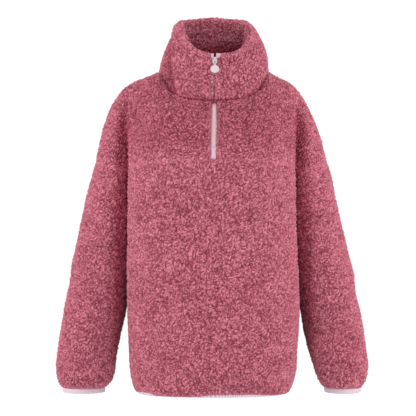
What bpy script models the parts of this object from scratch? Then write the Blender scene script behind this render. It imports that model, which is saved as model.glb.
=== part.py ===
"""Half-zip pullover of thick sherpa fleece, filled out and hollow, as solids in metres.

The front faces -Y, +X is the wearer's left, and +Z is up. The origin is the middle of the neck hole.
Lengths in the tables are millimetres. Each cloth piece is a wall between an outer surface, worked out
from the tables, and the same surface moved inwards.
"""

import math

import bmesh
import bpy
from mathutils import Matrix, Vector

MM = 0.001

# Cloth and seams
WALL = 6.0
SEAM_GAP = 0.3
ROUND = 2.5  # squareness of the body's sections, 2 is an ellipse
WEARERS_RIGHT, WEARERS_LEFT = -1, 1
SIDE_NAMES = {WEARERS_RIGHT: "right", WEARERS_LEFT: "left"}

# Heights of the seams
YOKE_SEAM_Z = -121.0
UNDERARM_Z = -135.0
SLEEVE_SEAM_OUTER_Z = -122.0
HEM_Z = -502.0
CUFF_Z = -500.0

# Body below the yoke: height, half width on each side, front and back
BODY = (
    (-110.0, 144.0, 140.0, -111.0, 104.0),
    (-160.0, 144.5, 140.0, -114.0, 103.0),
    (-230.0, 143.5, 140.0, -117.0, 100.0),
    (-300.0, 143.5, 142.0, -119.0, 98.0),
    (-370.0, 142.5, 144.0, -120.0, 99.0),
    (-430.0, 140.0, 140.5, -119.0, 101.0),
    (-470.0, 138.0, 138.5, -117.0, 102.0),
    (-490.0, 134.0, 133.0, -114.0, 100.0),
    (-502.0, 128.0, 127.0, -109.0, 96.0),
)
BODY_COLUMNS = {"right": 1, "left": 2, "front": 3, "back": 4}

# Sleeves: height, outer and inner edge of each, middle of the depth and half the depth
SLEEVE = (
    (-122.0, 198.0, 99.0, 193.0, 97.0, 24.0, 62.0),
    (-145.0, 204.5, 101.0, 200.0, 99.0, 24.0, 63.0),
    (-186.0, 215.0, 109.0, 208.0, 106.0, 24.0, 62.0),
    (-253.0, 229.0, 122.0, 223.5, 118.0, 22.0, 60.0),
    (-321.0, 244.0, 137.5, 240.0, 135.0, 19.0, 58.0),
    (-372.0, 251.0, 147.0, 249.0, 148.0, 15.0, 56.0),
    (-422.0, 259.0, 158.5, 256.0, 157.5, 11.0, 54.0),
    (-465.0, 264.0, 165.0, 261.0, 170.0, 8.0, 51.0),
    (-488.0, 261.0, 170.0, 257.0, 178.0, 7.0, 46.0),
    (-500.0, 255.0, 180.0, 251.0, 186.0, 7.0, 40.0),
)
SLEEVE_OUTER = {WEARERS_RIGHT: 1, WEARERS_LEFT: 3}
SLEEVE_INNER = {WEARERS_RIGHT: 2, WEARERS_LEFT: 4}
SLEEVE_MIDDLE, SLEEVE_DEPTH = 5, 6

# Soft folds of front and back: depth into the cloth, half width, and the run of each from top to bottom
BODY_FOLDS = {
    "front": (
        (3.0, 13.0, -112.0, -170.0, -100.0, -300.0),
        (-3.0, 13.0, -98.0, -215.0, -104.0, -335.0),
        (3.5, 12.0, -122.0, -265.0, -126.0, -400.0),
        (3.5, 14.0, 118.0, -180.0, 104.0, -330.0),
        (-2.5, 15.0, 92.0, -200.0, 84.0, -340.0),
        (2.5, 18.0, 60.0, -330.0, 78.0, -480.0),
        (2.5, 18.0, -45.0, -360.0, -59.0, -495.0),
        (2.0, 26.0, 10.0, -150.0, 0.0, -330.0),
    ),
    "back": (
        (3.5, 16.0, -85.0, -150.0, -65.0, -330.0),
        (3.5, 17.0, 80.0, -160.0, 56.0, -350.0),
        (3.0, 22.0, 15.0, -230.0, 3.0, -470.0),
        (2.5, 18.0, -60.0, -340.0, -70.0, -495.0),
        (-2.5, 16.0, 95.0, -330.0, 103.0, -480.0),
    ),
}

# Soft creases across the sleeves: side, depth, angle, half the angle it spans, height, half width, climb
SLEEVE_CREASES = (
    (-1, 4.0, -35.0, 75.0, -262.0, 22.0, -12.0),
    (-1, 3.5, 60.0, 80.0, -330.0, 22.0, 14.0),
    (-1, 3.0, 200.0, 80.0, -300.0, 24.0, 12.0),
    (-1, 3.0, 20.0, 70.0, -440.0, 20.0, -10.0),
    (1, 4.0, -30.0, 75.0, -285.0, 22.0, -12.0),
    (1, 3.5, 70.0, 80.0, -350.0, 24.0, 16.0),
    (1, 3.0, 190.0, 80.0, -320.0, 24.0, 14.0),
    (1, 3.0, 10.0, 70.0, -430.0, 20.0, -12.0),
)

# The crease that folds the collar beside the front, on the wearer's right: depth, angle, half width, rise
CREASE_DEPTH, CREASE_ANGLE, CREASE_HALF_WIDTH, CREASE_RISE = 7.0, 74.0, 11.0, 0.5

# Clearance between a sleeve and the body: at the seam, lower down, and over what height it opens
CLEARANCE, CLEARANCE_LOW, CLEARANCE_DROP = 0.3, 5.0, 60.0
CORNER = 8.0  # how softly the body turns in behind the sleeve

# Where the front and back panels turn into the sleeves, as depths, and the side seam between them
FRONT_FOLD_Y, SIDE_SEAM_Y, BACK_FOLD_Y = -37.0, 17.0, 70.0

# Shoulder line from the neck to the sleeve seam: height and distance out on each side
SHOULDER = (
    (31.0, 90.0, 93.0),
    (21.5, 112.0, 108.0),
    (13.0, 133.0, 127.0),
    (3.0, 149.0, 139.0),
    (-7.0, 158.0, 147.0),
    (-17.0, 165.0, 154.0),
    (-34.0, 175.0, 163.0),
    (-51.0, 181.0, 171.0),
    (-68.0, 187.0, 178.0),
    (-85.0, 191.0, 184.0),
    (-102.0, 195.0, 188.0),
    (-122.0, 198.0, 193.0),
)
SHOULDER_COLUMNS = {WEARERS_RIGHT: 1, WEARERS_LEFT: 2}
SHOULDER_POINT = 0.295  # share of the line that lies on the shoulder, before it turns down the arm
SHOULDER_NECK_Y, SHOULDER_SLEEVE_Y = 4.0, 24.0

# Neck seam and collar rim: angle from the front and height
NECK_HEIGHTS = ((0, -23.0), (25, -19.0), (45, -9.0), (65, 8.0), (90, 31.0), (130, 36.0), (180, 37.0))
RIM_HEIGHTS = {
    WEARERS_RIGHT: ((0, 52.0), (22, 60.0), (38, 70.0), (51, 83.0), (69, 100.0), (90, 111.0), (180, 122.0)),
    WEARERS_LEFT: ((0, 52.0), (25, 55.5), (45, 63.0), (57, 72.0), (70, 86.0), (90, 108.0), (180, 122.0)),
}
NECK_HALF_WIDTH = {WEARERS_RIGHT: 90.0, WEARERS_LEFT: 93.0}
RIM_HALF_WIDTH = {WEARERS_RIGHT: 63.0, WEARERS_LEFT: 67.0}
NECK_MIDDLE_Y, NECK_HALF_DEPTH = 4.0, 70.0
RIM_MIDDLE_Y, RIM_HALF_DEPTH = 0.0, 57.0
NECK_ROUND = 2.3
COLLAR_BULGE = {"front": 5.0, "back": 4.0, WEARERS_RIGHT: 3.0, WEARERS_LEFT: 7.0}
NECK_SLANT = 0.5  # beside the shoulders, the walls at the neck seam drop this much for each mm inwards
LINING_NEAR, LINING_FAR = 8.5, 13.0  # the collar's inner layer, measured in from its outer face

# Zip
ZIP_X_LOW, ZIP_X_HIGH, ZIP_TOP_Z = 0.5, 3.0, 52.0
YOKE_HALF_GAP = 4.7
COLLAR_HALF_GAP, COLLAR_TOP_HALF_GAP, COLLAR_SPREAD_Z = 3.2, 5.4, 30.0
TAPE_NEAR, TAPE_FAR, TAPE_WIDTH, TAPE_CLEARANCE = 6.8, 7.5, 12.0, 0.4
COIL_NEAR, COIL_FAR, COIL_HALF_WIDTH = 4.3, 6.3, 2.2
NECK_STEP, NECK_STEP_REACH = 1.3, 15.0  # behind the neck seam the tape steps back
ZIP_CELL = 7.0
TAPE_LOW_Z, TAPE_HIGH_Z, COIL_LOW_Z = -126.0, 47.0, -99.0
END_TAB_LOW_Z, END_TAB_HIGH_Z, END_TAB_HALF_WIDTH = -119.5, -99.5, 4.2

# Slider and pull tab
SLIDER_LOW_Z, SLIDER_HIGH_Z, SLIDER_WIDTH = 40.5, 51.5, 8.6
SLIDER_NEAR, SLIDER_FAR = 1.0, 6.0
PIVOT_Z, PIVOT_DEPTH = 44.6, -0.4
BAIL_INNER_HIGH, BAIL_INNER_LOW, BAIL_FRONT, BAIL_THICK, BAIL_WIDTH = 4.0, 1.25, 1.3, 1.1, 2.0
PULL_THICK, EYE_HALF_WIDTH, EYE_LENGTH, PULL_HALF_WIDTH = 1.3, 1.6, 6.5, 2.7
STEM_HALF_WIDTH, DISC_RADIUS, DISC_DROP = 1.5, 7.3, 17.0
PULL_LIFT = math.radians(9)  # how far the fleece under the pull's disc holds it out

# Elastic bindings
BINDING_THICK, HEM_BINDING_HEIGHT, CUFF_BINDING_HEIGHT, BINDING_INSET = 3.0, 5.0, 8.5, 1.5

# How many cells each wall has
PANEL_COLUMNS, NECK_COLUMNS, FAN_COLUMNS, UPPER_ROWS = 10, 7, 7, 8
SIDE_COLUMNS, BODY_ROWS, SLEEVE_ROWS = 4, 15, 15
SLEEVE_FRONT_COLUMNS = 8
COLLAR_COLUMNS, COLLAR_ROWS = 2 * NECK_COLUMNS, 6


def lerp(a, b, t):
    return a + (b - a) * t


def ease(t):
    t = min(max(t, 0.0), 1.0)
    return t * t * (3 - 2 * t)


def soft_min(a, b, reach):
    near = max(reach - abs(a - b), 0.0) / reach
    return min(a, b) - near * near * reach / 4


def read(rows, column, at):
    """A table's column at any place along its first column, as a smooth curve through the rows."""
    places = [row[0] for row in rows]
    if places[0] > places[-1]:
        rows, places = rows[::-1], places[::-1]
    values = [row[column] for row in rows]
    if at <= places[0]:
        return values[0]
    if at >= places[-1]:
        return values[-1]
    i = max(j for j in range(len(places) - 1) if places[j] <= at)

    def slope(j):
        low, high = max(j - 1, 0), min(j + 1, len(places) - 1)
        return (values[high] - values[low]) / (places[high] - places[low])

    span = places[i + 1] - places[i]
    t = (at - places[i]) / span
    start, end = slope(i) * span, slope(i + 1) * span
    rise = values[i + 1] - values[i]
    return values[i] + t * start + t * t * (3 * rise - 2 * start - end) + t**3 * (start + end - 2 * rise)


def rounding(t, squareness):
    """From 0 to 1, slow at first and then turning over, as a shoulder does."""
    return 1 - (1 - min(t, 1.0) ** squareness) ** (1 / squareness)


def steps(low, high, count):
    return [lerp(low, high, i / count) for i in range(count + 1)]


def soft_bump(off):
    """1 in the middle of a fold and 0 from its full width on."""
    return (1 - off * off) ** 2 if abs(off) < 1 else 0.0


# Sleeve surface


def sleeve_ring(side, z):
    """Middle, half width, middle of the depth and half depth of a sleeve at a height."""
    outer, inner = read(SLEEVE, SLEEVE_OUTER[side], z), read(SLEEVE, SLEEVE_INNER[side], z)
    return (outer + inner) / 2, (outer - inner) / 2, read(SLEEVE, SLEEVE_MIDDLE, z), read(SLEEVE, SLEEVE_DEPTH, z)


def sleeve_point(side, angle, z):
    """Angle 0 is the sleeve's front, a quarter turn its outer edge, and three quarters its inner edge."""
    middle, half, middle_y, depth = sleeve_ring(side, z)
    crease = sleeve_crease(side, angle, z)
    half, depth = half - crease, depth - crease
    return Vector((side * (middle + half * math.sin(angle)), middle_y - depth * math.cos(angle), z))


def sleeve_crease(side, angle, z):
    total = 0.0
    for its_side, deep, middle, span, height, wide, climb in SLEEVE_CREASES:
        off = math.remainder(angle - math.radians(middle), 2 * math.pi) / math.radians(span)
        if its_side == side and abs(off) < 1:
            total += deep * soft_bump(off) * math.exp(-(((z - height - climb * off) / wide) ** 2))
    return total


def sleeve_inwards(side, angle, z):
    _, half, _, depth = sleeve_ring(side, z)
    return -Vector((side * math.sin(angle) / half, -math.cos(angle) / depth, 0)).normalized()


def fold_angle(side, y):
    """The sleeve's angle where its underarm starts, in front or behind."""
    _, _, middle_y, depth = sleeve_ring(side, UNDERARM_Z)
    turn = math.acos(max(-1.0, min(1.0, (middle_y - y) / depth)))
    body_x = body_side(side, y, UNDERARM_Z)
    middle, _, _, _ = sleeve_ring(side, UNDERARM_Z)
    return turn if body_x > middle else -turn if y < middle_y else 2 * math.pi - turn


def seam_z(side, angle):
    """Height of the sleeve seam: lowest under the arm, higher at the sleeve's outer edge."""
    front, back = fold_angle(side, FRONT_FOLD_Y), fold_angle(side, BACK_FOLD_Y)
    outer = math.pi / 2
    share = (angle - front) / (outer - front) if angle < outer else (back - angle) / (back - outer)
    return lerp(UNDERARM_Z, SLEEVE_SEAM_OUTER_Z, ease(share))


# Body surface


def body_side(side, y, z):
    """Half width of the body at a depth, pressed in where the sleeve hangs beside it."""
    front, back = read(BODY, BODY_COLUMNS["front"], z), read(BODY, BODY_COLUMNS["back"], z)
    width = read(BODY, BODY_COLUMNS[SIDE_NAMES[side]], z)
    share = min(abs(y - (front + back) / 2) / ((back - front) / 2), 1.0)
    free = width * (1 - share**ROUND) ** (1 / ROUND)
    middle, half, middle_y, depth = sleeve_ring(side, z)
    off = abs(y - middle_y) / depth
    inner = middle - half * math.sqrt(1 - off * off) if off < 1 else middle + 3 * (off - 1) * depth
    drop = min(max((UNDERARM_Z - z) / CLEARANCE_DROP, 0.0), 1.0)
    return soft_min(free, inner - lerp(CLEARANCE, CLEARANCE_LOW, ease(drop)), CORNER)


def body_turn(y, z):
    """The turn round the body's section, from the front's middle, at which it lies at a depth."""
    front, back = read(BODY, BODY_COLUMNS["front"], z), read(BODY, BODY_COLUMNS["back"], z)
    share = ((front + back) / 2 - y) / ((back - front) / 2)
    return math.acos(math.copysign(abs(share) ** (ROUND / 2), share))


def body_point(side, turn, z):
    front, back = read(BODY, BODY_COLUMNS["front"], z), read(BODY, BODY_COLUMNS["back"], z)
    along = math.cos(turn)
    y = (front + back) / 2 - (back - front) / 2 * math.copysign(abs(along) ** (2 / ROUND), along)
    x = side * body_side(side, y, z)
    facing = 1 if along > 0 else -1
    return Vector((x, y + facing * abs(along) * body_fold("front" if along > 0 else "back", x, z), z))


def body_fold(panel, x, z):
    total = 0.0
    for deep, wide, x_high, high, x_low, low in BODY_FOLDS[panel]:
        run = (high - z) / (high - low)
        if 0 < run < 1:
            total += deep * math.sin(math.pi * run) * math.exp(-(((x - lerp(x_high, x_low, run)) / wide) ** 2))
    return total


def body_inwards(side, turn, z):
    step = 0.02
    if turn < step:
        return Vector((0, 1, 0))
    if turn > math.pi - step:
        return Vector((0, -1, 0))
    along = body_point(side, turn + step, z) - body_point(side, turn - step, z)
    return Vector((-side * along.y, side * along.x, 0)).normalized()


def body_pair(side, turn, z):
    point = body_point(side, turn, z)
    return point, point + WALL * body_inwards(side, turn, z)


# Neck, collar and shoulders


def neck_curve(side, angle, heights, half_width, middle_y, half_depth):
    along, out = math.cos(angle), math.sin(angle)
    x = side * half_width * max(out, 0.0) ** (2 / NECK_ROUND)
    y = middle_y - half_depth * math.copysign(abs(along) ** (2 / NECK_ROUND), along)
    return Vector((x, y, read(heights, 1, math.degrees(angle))))


def neck_point(side, angle):
    return neck_curve(side, angle, NECK_HEIGHTS, NECK_HALF_WIDTH[side], NECK_MIDDLE_Y, NECK_HALF_DEPTH)


def collar_point(side, angle, rise):
    """Rise is 0 at the neck seam and 1 at the rim."""
    low = neck_point(side, angle)
    high = neck_curve(side, angle, RIM_HEIGHTS[side], RIM_HALF_WIDTH[side], RIM_MIDDLE_Y, RIM_HALF_DEPTH)
    bulge = math.sin(math.pi * rise)
    out = Vector((side * COLLAR_BULGE[side] * math.sin(angle) ** 2, 0, 0))
    ends = COLLAR_BULGE["front"] if angle < math.pi / 2 else COLLAR_BULGE["back"]
    out.y = -ends * math.cos(angle) * abs(math.cos(angle))
    point = low.lerp(high, rise) + bulge * out
    if side == WEARERS_RIGHT:
        off = (math.degrees(angle) - CREASE_ANGLE) / CREASE_HALF_WIDTH
        fold = CREASE_DEPTH * math.exp(-off * off) * soft_bump((rise - CREASE_RISE) / CREASE_RISE)
        point += fold * Vector((math.sin(angle), math.cos(angle), 0))
    return point


def collar_inwards(side, angle, rise):
    step = 0.04
    if angle < step:
        flat = Vector((0, 1, 0))
    elif angle > math.pi - step:
        flat = Vector((0, -1, 0))
    else:
        along = collar_point(side, angle + step, rise) - collar_point(side, angle - step, rise)
        flat = Vector((-side * along.y, side * along.x, 0)).normalized()
    return flat + Vector((0, 0, -NECK_SLANT * math.sin(angle) ** 2 * (1 - ease(rise / 0.25))))


def zip_x(z):
    return lerp(ZIP_X_LOW, ZIP_X_HIGH, (z - YOKE_SEAM_Z) / (ZIP_TOP_Z - YOKE_SEAM_Z))


def beside_zip(point, side, half_gap, share):
    """Moves a point of a front edge clear of the zip. Share is 0 at the edge and 1 far from it."""
    moved = point.copy()
    moved.x += (zip_x(point.z) + side * half_gap) * (1 - share) ** 2
    return moved


def collar_half_gap(z):
    return lerp(COLLAR_HALF_GAP, COLLAR_TOP_HALF_GAP, ease((z - COLLAR_SPREAD_Z) / (40 - COLLAR_SPREAD_Z)))


def shoulder_point(side, share):
    """A point of the shoulder line, by its share of the length from neck to sleeve seam."""
    column = SHOULDER_COLUMNS[side]
    lengths = [0.0]
    for low, high in zip(SHOULDER, SHOULDER[1:]):
        lengths.append(lengths[-1] + math.hypot(high[0] - low[0], high[column] - low[column]))
    rows = [(length / lengths[-1], row[0], row[column]) for length, row in zip(lengths, SHOULDER)]
    y = lerp(SHOULDER_NECK_Y, SHOULDER_SLEEVE_Y, share)
    return Vector((side * read(rows, 2, share), y, read(rows, 1, share)))


def shoulder_inwards(side, share):
    step = 0.01
    along = shoulder_point(side, min(share + step, 1)) - shoulder_point(side, max(share - step, 0))
    return Vector((side * along.z, 0, -side * along.x)).normalized()


# Yokes and upper back

NECK_SHARE = NECK_COLUMNS / PANEL_COLUMNS


def panel_foot(side, u, behind):
    """Where a column of the panel starts: u is 0 at the middle and 1 at the fold beside the arm."""
    z = lerp(YOKE_SEAM_Z, UNDERARM_Z, u**3)
    fold = body_turn(BACK_FOLD_Y if behind else FRONT_FOLD_Y, z)
    turn = lerp(math.pi, fold, u) if behind else fold * u
    return body_point(side, turn, z), body_inwards(side, turn, z)


def panel_head(side, u, behind):
    """Where it ends: on the neck seam near the middle, and on the shoulder line beyond."""
    if u <= NECK_SHARE + 1e-9:
        quarter = math.pi / 2
        angle = lerp(math.pi, quarter, u / NECK_SHARE) if behind else quarter * u / NECK_SHARE
        point = neck_point(side, angle)
        inwards = collar_inwards(side, angle, 0)
        return point, inwards
    share = SHOULDER_POINT * (u - NECK_SHARE) / (1 - NECK_SHARE)
    return shoulder_point(side, share), shoulder_inwards(side, share)


def panel_point(side, u, v, behind):
    foot, _ = panel_foot(side, u, behind)
    head, _ = panel_head(side, u, behind)
    squareness = lerp(1.7 if behind else 1.45, 2.2, u)
    return Vector((
        lerp(foot.x, head.x, v),
        lerp(foot.y, head.y, rounding(v, squareness)),
        lerp(foot.z, head.z, v),
    ))


def fan_point(side, k, v, behind):
    """The cap over the arm: k is 0 at the fold and 1 at the sleeve seam, v is 0 at the armpit."""
    foot, _ = panel_foot(side, 1, behind)
    crest = shoulder_point(side, lerp(SHOULDER_POINT, 1, k))
    fold = fold_angle(side, BACK_FOLD_Y if behind else FRONT_FOLD_Y)
    angle = lerp(fold, math.pi / 2, v)
    seam = sleeve_point(side, angle, seam_z(side, angle))
    last = shoulder_point(side, 1)
    plain = Vector((lerp(foot.x, crest.x, v), 0, lerp(foot.z, crest.z, v)))
    plain_seam = Vector((lerp(foot.x, last.x, v), 0, lerp(foot.z, last.z, v)))
    settle = k**3
    body_y = lerp(foot.y, crest.y, rounding(v, 2.2))
    x = plain.x + settle * (seam.x - plain_seam.x)
    z = plain.z + settle * (seam.z - plain_seam.z)
    return Vector((x, lerp(body_y, seam.y, ease(k)), z))


def upper_point(side, w, v, behind):
    """One surface over panel and cap: w runs from 0 at the middle to 2 at the sleeve seam."""
    return panel_point(side, w, v, behind) if w <= 1 else fan_point(side, w - 1, v, behind)


def upper_inwards(side, w, v, behind):
    """Across the seams both neighbours take the same direction, so that their edges stay parallel."""
    if v == 0 and w >= 1:
        return panel_foot(side, 1, behind)[1]
    if v == 0:
        return panel_foot(side, w, behind)[1]
    if w == 2:
        angle = lerp(fold_angle(side, BACK_FOLD_Y if behind else FRONT_FOLD_Y), math.pi / 2, v)
        return sleeve_inwards(side, angle, seam_z(side, angle))
    if v == 1:
        if w <= 1:
            return panel_head(side, w, behind)[1]
        return shoulder_inwards(side, lerp(SHOULDER_POINT, 1, w - 1))
    step = 0.03
    across = upper_point(side, min(w + step, 2), v, behind) - upper_point(side, max(w - step, 0), v, behind)
    up = upper_point(side, w, min(v + step, 1), behind) - upper_point(side, w, max(v - step, 0), behind)
    if w < step:
        across = Vector((side, 0, 0))
    return across.cross(up).normalized() * side * (1 if behind else -1)


def upper_pair(side, w, v, behind, half_gap=0.0):
    """Outer and inner point, each set back half a seam gap at the piece's edges."""
    point, inwards = upper_point(side, w, v, behind), upper_inwards(side, w, v, behind)
    if not behind and v == 0:
        point = point + Vector((0, 0, SEAM_GAP / 2))
    if v == 1:
        outwards = Vector((0, 1 if behind else -1, 0)) * SEAM_GAP / 2
        point = point + (outwards if w > NECK_SHARE else outwards + Vector((0, 0, -SEAM_GAP / 2)))
    if w == 2 and v > 0:
        point = point + Vector((0, 0, SEAM_GAP / 2))
    if half_gap and w < 1:
        point = beside_zip(point, side, half_gap, w)
    return point, point + WALL * inwards


# Making the solids

collection = bpy.data.collections.new("half_zip_pullover")
helpers = bpy.data.collections.new("helpers")


def clear():
    for thing in list(bpy.data.objects):
        bpy.data.objects.remove(thing)
    for group in (collection, helpers):
        bpy.context.scene.collection.children.link(group)


def material(name, colour, roughness, metallic=0.0):
    made = bpy.data.materials.new(name)
    made.use_nodes = True
    shader = made.node_tree.nodes["Principled BSDF"]
    shader.inputs["Base Color"].default_value = (*colour, 1)
    shader.inputs["Roughness"].default_value = roughness
    shader.inputs["Metallic"].default_value = metallic
    return made


def finish_object(name, mesh, surface):
    made = bpy.data.objects.new(name, mesh)
    mesh.materials.append(surface)
    mesh.shade_smooth()
    mesh.set_sharp_from_angle(angle=math.radians(40))
    collection.objects.link(made)
    return made


RIM_ORDER = Vector((1.0, 1.7, 2.3))  # both sides of a seam split their rims along the same diagonals


def wall(name, patches, surface):
    """A closed wall from grids of outer and inner points. Grids that share points are sewn together."""
    found, pairs, faces = {}, [], []

    def number(pair):
        key = tuple(round(c * 200) for c in pair[0])
        if key not in found:
            found[key] = len(pairs)
            pairs.append(pair)
        return found[key]

    for grid in patches:
        for row, above in zip(grid, grid[1:]):
            for i in range(len(row) - 1):
                corners = [number(p) for p in (row[i], row[i + 1], above[i + 1], above[i])]
                face = tuple(dict.fromkeys(corners))
                if len(face) > 2:
                    faces.append(face)
    uses = {}
    for face in faces:
        for a, b in zip(face, face[1:] + face[:1]):
            uses.setdefault(frozenset((a, b)), []).append((a, b))
    mesh = bpy.data.meshes.new(name)
    shell = bmesh.new()
    outer = [shell.verts.new(pair[0] * MM) for pair in pairs]
    inner = [shell.verts.new(pair[1] * MM) for pair in pairs]
    for face in faces:
        shell.faces.new([outer[i] for i in face])
        shell.faces.new([inner[i] for i in reversed(face)])
    for used in uses.values():
        if len(used) == 1:
            a, b = sorted(used[0], key=lambda i: pairs[i][0].dot(RIM_ORDER))
            shell.faces.new([outer[a], outer[b], inner[b]])
            shell.faces.new([outer[a], inner[b], inner[a]])
    bmesh.ops.recalc_face_normals(shell, faces=shell.faces)
    shell.to_mesh(mesh)
    shell.free()
    return finish_object(name, mesh, surface)


def underarm_angles(side, behind):
    """The sleeve's angles at the columns that the body shares with it, from the fold to the side seam."""
    _, _, middle_y, depth = sleeve_ring(side, UNDERARM_Z)
    seam = -math.acos((middle_y - SIDE_SEAM_Y) / depth)
    if behind:
        return steps(fold_angle(side, BACK_FOLD_Y), 2 * math.pi + seam, SIDE_COLUMNS)
    return steps(fold_angle(side, FRONT_FOLD_Y), seam, SIDE_COLUMNS)


def body_turns(side, behind, z):
    """The turns at which the body's columns stand at a height, from its middle to the side seam."""
    start = math.pi if behind else 0.0
    underarm = [sleeve_point(side, a, UNDERARM_Z).y for a in underarm_angles(side, behind)]
    sides = [body_turn(y, z) for y in underarm]
    return [lerp(start, sides[0], u) for u in steps(0, 1, PANEL_COLUMNS)] + sides[1:]


def body_rows(side, behind):
    """Rows of pairs for one half of the front or back, from the yoke's level down to the hem."""
    rows = []
    for share in steps(0, 1, BODY_ROWS):
        row = []
        for i in range(PANEL_COLUMNS + SIDE_COLUMNS + 1):
            u = min(i / PANEL_COLUMNS, 1)
            top = lerp(YOKE_SEAM_Z, UNDERARM_Z, u**3)
            if not behind or u == 1 and i > PANEL_COLUMNS:
                top -= SEAM_GAP / 2
            z = lerp(top, HEM_Z, share)
            point, inner = body_pair(side, body_turns(side, behind, z)[i], z)
            if i == PANEL_COLUMNS + SIDE_COLUMNS:
                back_off = Vector((0, SEAM_GAP / 2 if behind else -SEAM_GAP / 2, 0))
                point, inner = point + back_off, inner + back_off
            row.append((point, inner))
        rows.append(row)
    return rows


def upper_rows(side, behind, columns, half_gap=0.0):
    return [[upper_pair(side, w, v, behind, half_gap) for w in columns] for v in steps(0, 1, UPPER_ROWS)]


UPPER_COLUMNS = steps(0, 1, PANEL_COLUMNS) + steps(1, 2, FAN_COLUMNS)[1:]


def make_front(fleece):
    wall("front_lower", [body_rows(side, False) for side in (WEARERS_RIGHT, WEARERS_LEFT)], fleece)
    for side, label in SIDE_NAMES.items():
        wall(f"front_yoke_{label}", [upper_rows(side, False, UPPER_COLUMNS, YOKE_HALF_GAP)], fleece)


def make_back(fleece):
    patches = []
    for side in (WEARERS_RIGHT, WEARERS_LEFT):
        patches += [body_rows(side, True), upper_rows(side, True, UPPER_COLUMNS)]
    wall("back", patches, fleece)


def make_sleeve(side, fleece):
    front, back = fold_angle(side, FRONT_FOLD_Y), fold_angle(side, BACK_FOLD_Y)
    angles = steps(front, math.pi / 2, SLEEVE_FRONT_COLUMNS)
    angles += steps(math.pi / 2, back, SLEEVE_FRONT_COLUMNS)[1:]
    angles += underarm_angles(side, True)[1:]
    angles += [a + 2 * math.pi for a in underarm_angles(side, False)[-2::-1]]
    rows = []
    for share in steps(0, 1, SLEEVE_ROWS):
        row = []
        for angle in angles:
            z = lerp(seam_z(side, angle) - SEAM_GAP / 2, CUFF_Z, share)
            point = sleeve_point(side, angle, z)
            row.append((point, point + WALL * sleeve_inwards(side, angle, z)))
        rows.append(row)
    wall(f"sleeve_{SIDE_NAMES[side]}", [rows], fleece)


def collar_rows(side, near, far):
    rows = []
    for rise in steps(0, 1, COLLAR_ROWS):
        row = []
        for angle in steps(0, math.pi, COLLAR_COLUMNS):
            point = collar_point(side, angle, rise)
            if rise == 0:
                point = point + Vector((0, 0, SEAM_GAP / 2))
            share = min(2 * angle / math.pi, 1)
            point = beside_zip(point, side, collar_half_gap(point.z), share)
            inwards = collar_inwards(side, angle, rise)
            row.append((point + near * inwards, point + far * inwards))
        rows.append(row)
    return rows


def make_collar(fleece):
    for name, near, far in (("collar", 0.0, WALL), ("collar_lining", LINING_NEAR, LINING_FAR)):
        wall(name, [collar_rows(side, near, far) for side in (WEARERS_RIGHT, WEARERS_LEFT)], fleece)


def binding_rows(ring, height, top):
    """A binding that turns round a raw edge, from the points and inward directions of its ring."""
    rows = []
    for drop in (0.0, height / 2, height):
        tuck = BINDING_INSET + (0.6 if drop == height else 0.0)
        row = []
        for point, inwards in ring:
            outer = Vector((point.x, point.y, top - drop)) + tuck * inwards
            row.append((outer, outer + (BINDING_THICK + 2 * (BINDING_INSET - tuck)) * inwards))
        rows.append(row + row[:1])
    return rows


def make_bindings(elastic):
    hem = []
    for side, order in ((WEARERS_LEFT, 1), (WEARERS_RIGHT, -1)):
        turns = steps(0, math.pi, 20)[::order]
        hem += [(body_point(side, t, HEM_Z), body_inwards(side, t, HEM_Z)) for t in turns[:-1]]
    wall("hem_binding", [binding_rows(hem, HEM_BINDING_HEIGHT, HEM_Z - SEAM_GAP)], elastic)
    for side, label in SIDE_NAMES.items():
        angles = steps(0, 2 * math.pi, 24)[:-1]
        cuff = [(sleeve_point(side, a, CUFF_Z), sleeve_inwards(side, a, CUFF_Z)) for a in angles]
        top = CUFF_Z - SEAM_GAP
        wall(f"cuff_binding_{label}", [binding_rows(cuff, CUFF_BINDING_HEIGHT, top)], elastic)


# Zip


def front_y(x, z):
    """Depth of the front's outer face near its middle line."""
    side = WEARERS_LEFT if x > 0 else WEARERS_RIGHT
    if z > NECK_HEIGHTS[0][1]:
        angle = math.asin((abs(x) / NECK_HALF_WIDTH[side]) ** (NECK_ROUND / 2))
        low, high = collar_point(side, angle, 0).z, collar_point(side, angle, 1).z
        return collar_point(side, angle, min(max((z - low) / (high - low), 0), 1)).y
    if z < YOKE_SEAM_Z:
        return body_point(side, 0, z).y
    near, far = 0.0, 0.5
    for _ in range(20):
        u = (near + far) / 2
        foot, head = panel_foot(side, u, False)[0], panel_head(side, u, False)[0]
        point = panel_point(side, u, min(max((z - foot.z) / (head.z - foot.z), 0), 1), False)
        near, far = (u, far) if abs(point.x) < abs(x) else (near, u)
    return point.y


def front_inwards(x, z):
    """Into the cloth, square to the front's profile near its middle line."""
    step = 3.0
    rise = Vector((0, front_y(x, z + step) - front_y(x, z - step), 2 * step)).normalized()
    return Vector((0, rise.z, -rise.y))


def zip_strip(low, high, edges, near, far):
    """Rows of a strip that follows the zip: its edges from the zip's middle, and its depths."""
    rows = []
    for z in steps(low, high, round((high - low) / ZIP_CELL)):
        row = []
        for edge in edges:
            face, inwards = Vector((zip_x(z) + edge, front_y(edge, z), z)), front_inwards(edge, z)
            step_back = math.exp(-(((z - NECK_HEIGHTS[0][1]) / NECK_STEP_REACH) ** 2)) * NECK_STEP
            row.append((face + (near + step_back) * inwards, face + (far + step_back) * inwards))
        rows.append(row)
    return rows


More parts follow.
